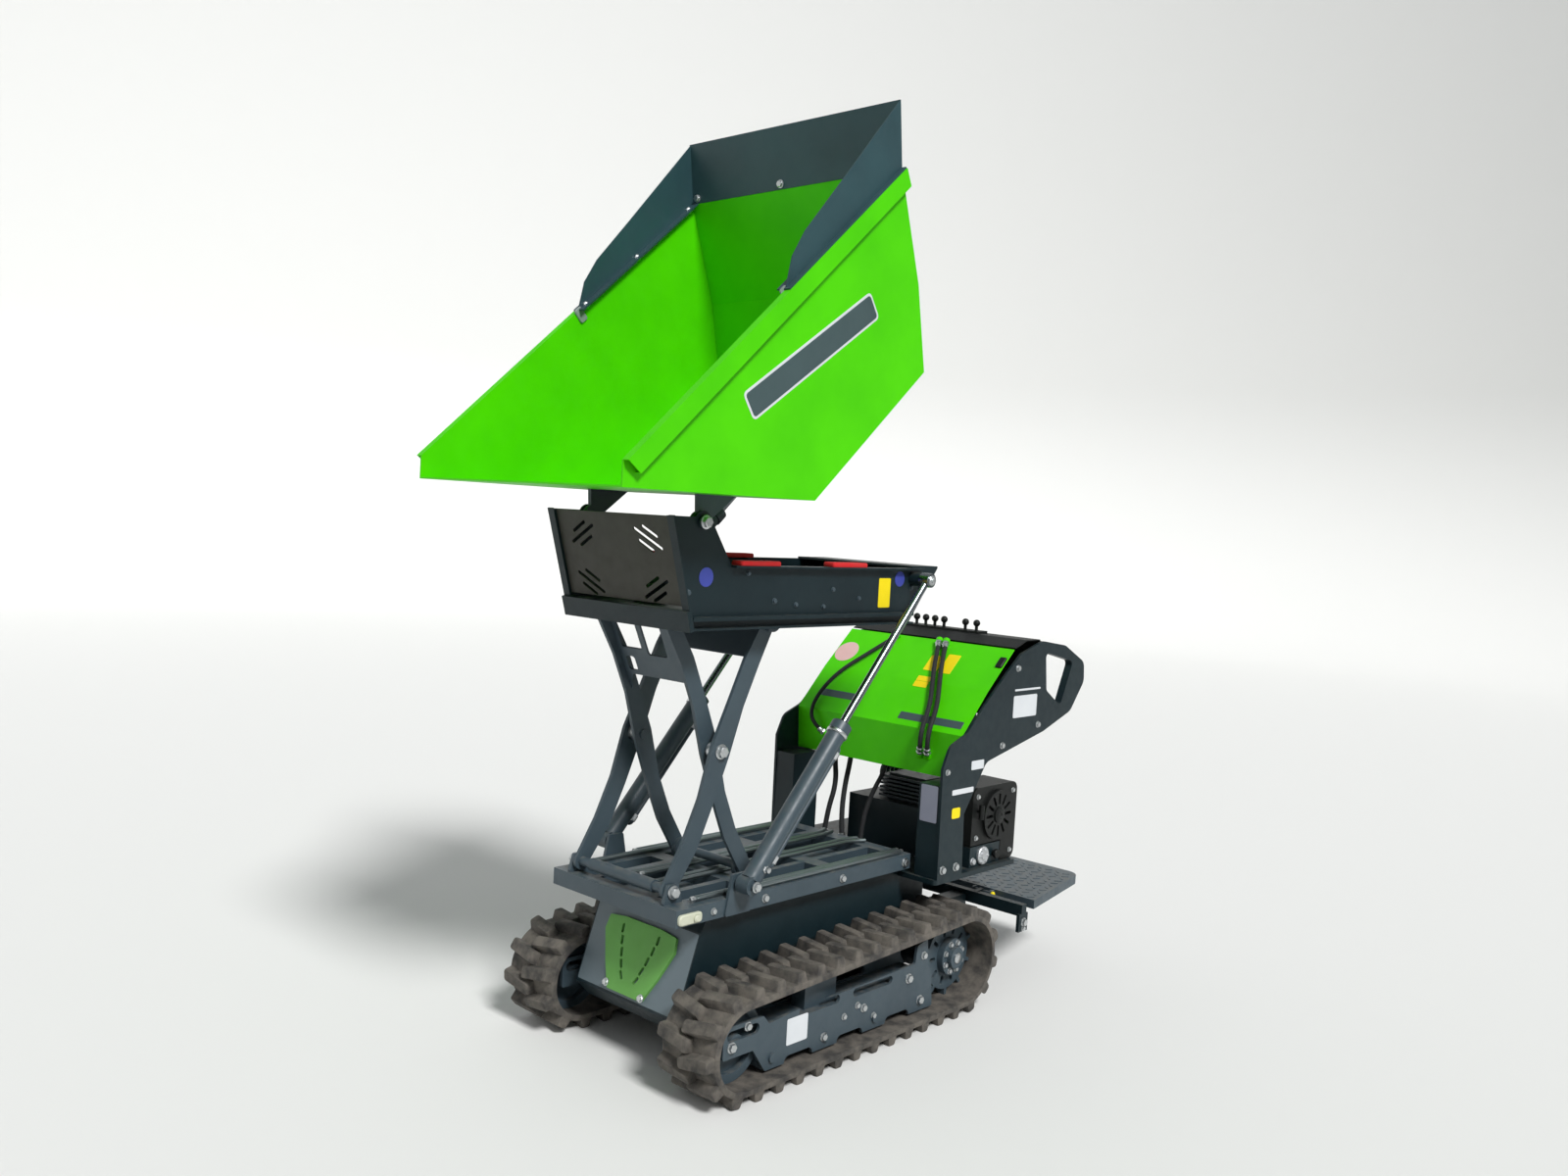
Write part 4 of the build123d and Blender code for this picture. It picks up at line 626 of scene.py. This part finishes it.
# Lime enamel is a strong even green with little shine. The dark lime strip in the groove under each rim is
# painted shadow, the shade the rim casts. The extension's enamel is glossier, and the strips that hold it are
# rubbed pale.
lime_enamel = sprayed_enamel("lime_enamel", "4ECF00", "45C200", 0.42, 0.04, 0.15)
rim_shadow_lime = sprayed_enamel("lime_enamel_painted_rim_shadow", "1E6A12", "1A5F10", 0.6, 0.0, 0.1)
blue_black = sprayed_enamel("blue_black_enamel", "2C4A50", "274147", 0.40, 0.1, 0.4)
worn_enamel = sprayed_enamel("worn_pale_enamel", "8D9996", "78847F", 0.45, 0.1)
slate_foil = printed_foil("slate_printed_foil", "3F5254", "394B4D", 0.45)
coat(lime_enamel, "skip_shell", "skip_rim")
coat(blue_black, "skip_extension")
coat(slate_enamel, "skip_hinge")
tip_shown = -radians(joints["skip_tip"]["range_deg"][0])      # at its lower limit the skip lies level
# (Y, Z) from the hinge with the skip level: the lip's top, the upper rear corner and the extension's top
LIP_TOP, CORNER, EXTENSION_TOP = np.array((-209.6, 345.6)), np.array((932, 365)), np.array((1023, 500))
SKIP_FACE, HINGE_FACE = reach("skip_shell")[1][0], reach("skip_hinge")[1][0]
SKIP_WALL, RIM_HIGH, FOOT_FROM = 4, 43, 615


def turned_way(level):
    """A (Y, Z) direction of the level skip, turned by the tip shown: y becomes y cos - z sin, and z becomes
    y sin + z cos."""
    y, z = level
    return np.array((0, y * cos(tip_shown) - z * sin(tip_shown), y * sin(tip_shown) + z * cos(tip_shown)))


def on_skip(level, x):
    """A point of the skip at X = x, from its (Y, Z) on the level skip, measured from the hinge."""
    return pin["skip_tip"] + (x, 0, 0) + turned_way(level)


rim_long = np.linalg.norm(CORNER - LIP_TOP)
rim_line = (CORNER - LIP_TOP) / rim_long
rim_down = np.array((rim_line[1], -rim_line[0]))
rim_ahead, rim_up = turned_way(rim_line), turned_way(-rim_down)


def beside_rim(along, down, x):
    """A point beside the rim: along it from the lip, and square down from its top."""
    return on_skip(LIP_TOP + along * rim_line + down * rim_down, x)


# a thin strip of dark lime under each rim: painted shadow of the rim
rim_shadow_strip = plate(beside_rim(rim_long / 2 - 8, RIM_HIGH + 5, SKIP_FACE), rim_ahead, rim_up, rim_long - 90,
               9, 0.8, 3)
put_piece("skip_rim_painted_shadows", both_sides([rim_shadow_strip]), rim_shadow_lime, "skip")
PLAQUE_LONG, PLAQUE_HIGH, PLAQUE_EDGE, PLAQUE_THICK, PLAQUE_LEAN = 508, 70, 6, 0.9, radians(34.7)
plaque_at = np.array((SKIP_FACE, -487, 1758))
plaque_along, plaque_up = (0, cos(PLAQUE_LEAN), sin(PLAQUE_LEAN)), (0, -sin(PLAQUE_LEAN), cos(PLAQUE_LEAN))
put_piece("skip_blank_plaque_edge", [plate(plaque_at, plaque_along, plaque_up, PLAQUE_LONG, PLAQUE_HIGH,
                                           PLAQUE_THICK, 12)], white_foil, "skip")
put_piece("skip_blank_plaque", [plate(plaque_at + (PLAQUE_THICK, 0, 0), plaque_along, plaque_up,
                                      PLAQUE_LONG - 2 * PLAQUE_EDGE, PLAQUE_HIGH - 2 * PLAQUE_EDGE, 0.8, 8)],
          slate_foil, "skip")
wall_inside = SKIP_FACE - SKIP_WALL
foot_long, FOOT_WIDE, FOOT_THICK = rim_long - FOOT_FROM, 15, 2
strip = plate(beside_rim(FOOT_FROM + foot_long / 2, 4, wall_inside), rim_ahead, -rim_up, foot_long - 8,
              FOOT_WIDE, FOOT_THICK, 3)
put_piece("extension_foot_strips", both_sides([strip]), worn_enamel, "skip")
foot_bolts = []
for along in (640, 868, 1112):
    foot_bolts += bolt(beside_rim(along, 2, wall_inside - FOOT_THICK), (-1, 0, 0), 9)
back_bolts = []
back_line = (EXTENSION_TOP - CORNER) / np.linalg.norm(EXTENSION_TOP - CORNER)
back_in = np.array((-back_line[1], back_line[0]))
for x in (-350, -30, 290):
    back_bolts += bolt(on_skip(CORNER + 14 * back_line + SKIP_WALL * back_in, x), turned_way(back_in), 10)
put_piece("extension_bolts", both_sides(foot_bolts) + back_bolts, zinc_plate, "skip")
latch = plate(beside_rim(FOOT_FROM - 6, 12, wall_inside), rim_ahead, -rim_up, 26, 40, 5, 6)
put_piece("extension_latches", both_sides([latch]), worn_enamel, "skip")
hinge_bolts = bolt(on_skip((0, 0), HINGE_FACE), OUTWARDS, PIN_THREAD)
put_piece("skip_hinge_bolts", both_sides(hinge_bolts), zinc_plate, "skip")

# ---------------------------------------------------------------- operator's console
# Two laser-cut side plates stand on the base plate, each with a folded leg and a loop to hold on to. A nylon
# dash carries the levers' gate, and a shelf behind the hood carries the tank and the hoses' bulkhead.


def moulded_plastic(name, code, worn, roughness=0.5, specular=0.3):
    """Plastic from a spark-eroded mould, which leaves an even grain. It is drawn 2 mm across and 0.1 mm
    deep, coarser than the real one so that it shows. The colour is worn in patches of about 110 mm."""
    material, tree, place = new_finish(name)
    cells = add_node(tree, "ShaderNodeTexVoronoi", Vector=place, Scale=1000 / 2)
    colour = blend_colours(tree, blotches(tree, place, 111, 0.3, 0.8), code, worn)
    close_finish(tree, Base_Color=colour, Roughness=roughness, Specular_IOR_Level=specular,
                 Normal=ridge(tree, cells.outputs[0], 0.0001))
    return material


# Moulded nylon is black with a dull broad sheen.
black_nylon = moulded_plastic("black_nylon", "0A0C0B", "121514")
lilac_foil = printed_foil("lilac_grey_foil", "8D90A0", "808496")
# The console's steel takes the slate darkened to near black, which paints the shade on its sides.
coat(slate_in_painted_shade, "console_base", "console_side_left", "console_side_right", "console_shelf")
coat(black_nylon, "console_top", "fuel_tank", "control_levers")
SIDE_FACE, LEG_FACE, FOIL_THICK = reach("console_side_left")[1][0], 215, 1
# each row: Y, Z, length, height and corner radius
blank_plates = [plate((SIDE_FACE, y, z), SIDEWAYS, UPWARDS, long, wide, FOIL_THICK, radius)
                for y, z, long, wide, radius in ((612, 852, 128, 66, 5), (622, 902, 140, 6, 2.5),
                                                 (380, 697, 62, 26, 3), (314, 628, 104, 15, 3))]
put_piece("console_blank_plates", blank_plates, white_foil)
patch = plate((SIDE_FACE, 286, 568), SIDEWAYS, UPWARDS, 40, 30, FOIL_THICK, 6)
put_piece("console_blank_patch", [patch], yellow_foil)
leg_plate = plate((276, LEG_FACE, 596), OUTWARDS, UPWARDS, 58, 104, FOIL_THICK)
put_piece("leg_blank_plate", [leg_plate], lilac_foil)
console_bolts = side_bolts(SIDE_FACE, (
    (300, 412, 11), (236, 412, 11), (232, 690, 8), (560, 968, 9), (690, 790, 9), (500, 742, 9)))
put_piece("console_side_bolts", both_sides(console_bolts), zinc_plate)

# ---------------------------------------------------------------- hood
# One sheet in lime enamel, folded twice, closes the console towards the skip. Blank foils lie on it, and a
# black latch holds its upper corner.
coat(lime_enamel, "hood")
rose_foil = printed_foil("rose_white_foil", "DDB9B6", "D3A8A6")
HOOD_FOLDS = np.array(((306, 784), (420, 904), (547, 1021)))     # (Y, Z) of the edges of its two flats
HOOD_SHEET = 3


def on_hood(x, flat, share):
    """A point on the outside of a flat of the hood, at X = x and a share of the way up from the flat's lower
    edge to its upper one, and the direction up the flat."""
    low, high = HOOD_FOLDS[flat:flat + 2]
    up = (high - low) / np.linalg.norm(high - low)
    y, z = low + share * (high - low) + HOOD_SHEET * np.array((-up[1], up[0]))
    return np.array((x, y, z)), np.array((0, *up))


# each row: X, flat, share of the way up it, length and width
YELLOW_FOILS = ((77, 1, 0.44, 50, 62), (131, 1, 0.47, 44, 78), (78, 1, 0.06, 50, 20), (78, 0, 0.93, 50, 22))
DARK_FOILS = ((-182, 0, 0.4, 160, 26), (182, 0, 0.2, 228, 26))
LATCH = ((298, 1, 0.66, 22, 40),)
for name, finish, thick, rows in (("hood_yellow_foils", yellow_foil, 0.8, YELLOW_FOILS),
                                  ("hood_dark_foils", slate_foil, 0.8, DARK_FOILS),
                                  ("hood_latch", black_nylon, 6, LATCH)):
    plates = []
    for x, flat, share, long, wide in rows:
        middle, up = on_hood(x, flat, share)
        plates.append(plate(middle, OUTWARDS, up, long, wide, thick, 3))
    put_piece(name, plates, finish)
middle, up = on_hood(-268, 1, 0.42)
disc = turned([(0, 42), (0.6, 42), (0.9, 41.6)], middle, np.cross(OUTWARDS, up), 48)
put_piece("hood_round_foil", [disc], rose_foil)

# ---------------------------------------------------------------- hydraulic hoses
# Wire-braided rubber hoses in a wrapped cover: three over the hood from the valve block to the bulkhead
# shelf, three from the shelf down to the pumps. Each end is pushed into the fitting on its gland.

# Their cover is cloth-wrapped black rubber, duller than nylon and rubbed grey in patches.
hose_cover = moulded_rubber("wrapped_hose_rubber", "17191B", "26282A", 0.5, 0.0002)
HOSES = (       # name, diameter, points of its route and length; millimetres, but the length in metres
    ("hose_hood_far", 12, ((-118, 527, 1018), (-172, 454, 958), (-226, 395, 904), (-252, 333, 839),
                           (-247, 284, 780), (-224, 283, 738), (-198, 300, 718)), 0.448),
    ("hose_hood_a", 14, ((52, 527, 1018), (88, 461, 962), (126, 403, 910), (164, 345, 848), (182, 288, 790),
                         (182, 282, 744), (172, 300, 716)), 0.434),
    ("hose_hood_b", 14, ((78, 527, 1018), (114, 461, 962), (152, 403, 910), (190, 345, 848), (208, 288, 790),
                         (208, 282, 744), (198, 300, 716)), 0.434),
    ("hose_down_a", 16, ((-196, 352, 716), (-190, 350, 638), (-168, 338, 560), (-176, 312, 472),
                         (-180, 306, 398)), 0.325),
    ("hose_down_b", 16, ((-120, 352, 716), (-128, 352, 638), (-132, 336, 560), (-118, 310, 472),
                         (-104, 304, 398)), 0.326),
    ("hose_down_c", 14, ((20, 352, 716), (14, 350, 638), (-22, 336, 560), (-34, 308, 472),
                         (-30, 300, 398)), 0.331),
)
for name, across, route, long in HOSES:
    route = np.array(route) / 1000
    line = bpy.data.curves.new(name + "_line", "CURVE")
    line.dimensions = "3D"
    line.bevel_depth = across / 2000
    line.bevel_resolution = 5
    line.resolution_u = 10
    line.use_fill_caps = True
    spline = line.splines.new("NURBS")
    spline.points.add(len(route) - 1)
    spline.points.foreach_set("co", np.column_stack([route, np.ones(len(route))]).ravel())
    spline.order_u = 3
    spline.use_endpoint_u = True
    line.materials.append(hose_cover)
    hose = bpy.data.objects.new("rubber_" + name, line)
    scene.collection.objects.link(hose)
    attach(hose, "root")
    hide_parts(name)
# a ferrule: a collar, a groove and a crimped sleeve, by distance from the hose's end and height over the hose
FERRULE = np.array([(-2, 3.4), (4, 3.4), (5, 2), (7, 2), (8, 2.6), (20, 2.6), (22, 0.4)])
ferrules = []
for name, across, route, long in HOSES:
    route = np.array(route, float)
    for end, beside in ((route[0], route[1]), (route[-1], route[-2])):
        way = (beside - end) / np.linalg.norm(beside - end)
        nut, collar = union_nut(end - way, way, across + 10, 9)
        ferrules += [turned(FERRULE + (0, across / 2), end, way), nut]
put_piece("hose_ferrules", ferrules, zinc_plate)

# ---------------------------------------------------------------- engine
# A small industrial petrol engine on the base plate. Its crankcase and ribbed cylinder are sprayed in dark
# enamel, drawn nearly black, partly as painted shade under the hood; a bare die-cast cover is bolted on, and
# a black moulded shroud holds the fan and the recoil starter.

# The die-cast alloy is pale and dull, with a coarse skin from the mould.
cast_alloy = bare_metal("die_cast_alloy", "CFD1D3", 0.5, 4.55, 0.0003)
# The block's near-black slate is partly dark engine paint and partly painted shade under the hood.
coat(slate_in_painted_shade, "engine_block")
coat(black_nylon, "engine_shroud")
CASE_FACE, STARTER_FACE = reach("engine_block")[1][0], reach("engine_shroud")[1][0]
SHROUD_FACE = STARTER_FACE - 10
COVER_Y, COVER_Z, COVER_THICK, COVER_BOLTS, COVER_BOLT_RING, COVER_THREAD = 462, 416, 8, 6, 19, 4
cover = [turned([(0, 27), (6, 27), (COVER_THICK, 25), (COVER_THICK, 13), (11, 12), (12, 10)],
                (CASE_FACE, COVER_Y, COVER_Z), OUTWARDS, 32)]
for i in range(COVER_BOLTS):
    turn = 2 * pi * i / COVER_BOLTS
    cover += side_bolts(CASE_FACE + COVER_THICK, [(COVER_Y + COVER_BOLT_RING * cos(turn),
                                                   COVER_Z + COVER_BOLT_RING * sin(turn), COVER_THREAD)])
put_piece("crankcase_cover", cover + side_bolts(CASE_FACE, [(415, 404, 10)]), cast_alloy)
oil_cap = turned([(0, 9), (8, 9), (8, 14), (15, 14), (17, 12)], (CASE_FACE, 522, 414), OUTWARDS, 10)
put_piece("oil_filler_cap", [oil_cap], black_nylon)
# the starter's hub, and its pull: a short grip on a stem
GRIP_Y, GRIP_LOW, GRIP_HIGH, GRIP_OUT = 426, 530, 572, 14
starter = turned([(0, 24), (4, 24), (7, 18), (7, 8), (5, 6)], (STARTER_FACE, 525, 530), OUTWARDS, 32)
grip = pipe([(SHROUD_FACE + GRIP_OUT, GRIP_Y, z) for z in (GRIP_LOW, GRIP_HIGH)], 8)
stem = pipe([(SHROUD_FACE + x, GRIP_Y, (GRIP_LOW + GRIP_HIGH) / 2) for x in (-2, GRIP_OUT - 1)], 4)
put_piece("starter_hub", [starter, grip, stem], black_nylon)
SHROUD_THREAD = 7
shroud_bolts = side_bolts(SHROUD_FACE, [(y, z, SHROUD_THREAD) for y, z in (
    (424, 594), (608, 594), (608, 412), (424, 472))])
put_piece("shroud_bolts", shroud_bolts, zinc_plate)
MUFFLER_Y, MUFFLER_Z, GUARD_RINGS = 560, 580, range(-138, -73, 16)
guard = [(0, 36.5), (0, 38.5), (4, 38.5), (4, 36.5)]
guard_rings = [turned(guard, (x, MUFFLER_Y, MUFFLER_Z), OUTWARDS, 28) for x in GUARD_RINGS]
put_piece("muffler_guard_rings", guard_rings, zinc_plate)

# ---------------------------------------------------------------- platform
# A folding step behind the engine for the operator, of pressed steel plate with raised lozenges for grip. It
# turns on two pins in the ears of a bar behind the chassis.
coat(slate_enamel, "platform")
# The bracket takes the slate darkened to near black as painted shade.
coat(slate_in_painted_shade, "platform_bracket")
FRONT_HALF, STEP_REAR, STEP_TOP = reach("platform")[1]
REAR_HALF, STEP_FRONT, STEP_CORNER = 300, 650, 60
LOZENGE_LONG, LOZENGE_WIDE, LOZENGE_HIGH, LOZENGE_PITCH, BARE_EDGE = 24, 7, 1.5, 33, 22
treads = []
for row, y in enumerate(np.arange(STEP_FRONT + BARE_EDGE, STEP_REAR - BARE_EDGE, LOZENGE_PITCH)):
    # the step narrows to its rear in a straight line, and faster past its rear corners
    half = FRONT_HALF - (FRONT_HALF - REAR_HALF) * (y - STEP_FRONT) / (STEP_REAR - STEP_FRONT) - BARE_EDGE
    half -= max(0, y - (STEP_REAR - STEP_CORNER)) * 0.6
    for column, x in enumerate(np.arange(-half, half + 1, 2 * half / round(2 * half / LOZENGE_PITCH))):
        lean = pi / 4 if (row + column) % 2 else -pi / 4
        treads.append(plate((x, y, STEP_TOP), (cos(lean), sin(lean), 0), (-sin(lean), cos(lean), 0),
                            LOZENGE_LONG, LOZENGE_WIDE, LOZENGE_HIGH, 3))
put_piece("platform_treads", treads, slate_enamel, "platform")
bracket_bolts = side_bolts(reach("platform_bracket")[1][0], [(607, 205, 12), (607, 186, 8)])
put_piece("bracket_bolts", both_sides(bracket_bolts), zinc_plate)
pin_cap = turned([(0, 8), (5, 8), (8, 5)], pin["platform_fold"] + (234, 0, 0), OUTWARDS)
put_piece("fold_pin_cap", [pin_cap], yellow_foil, "platform")
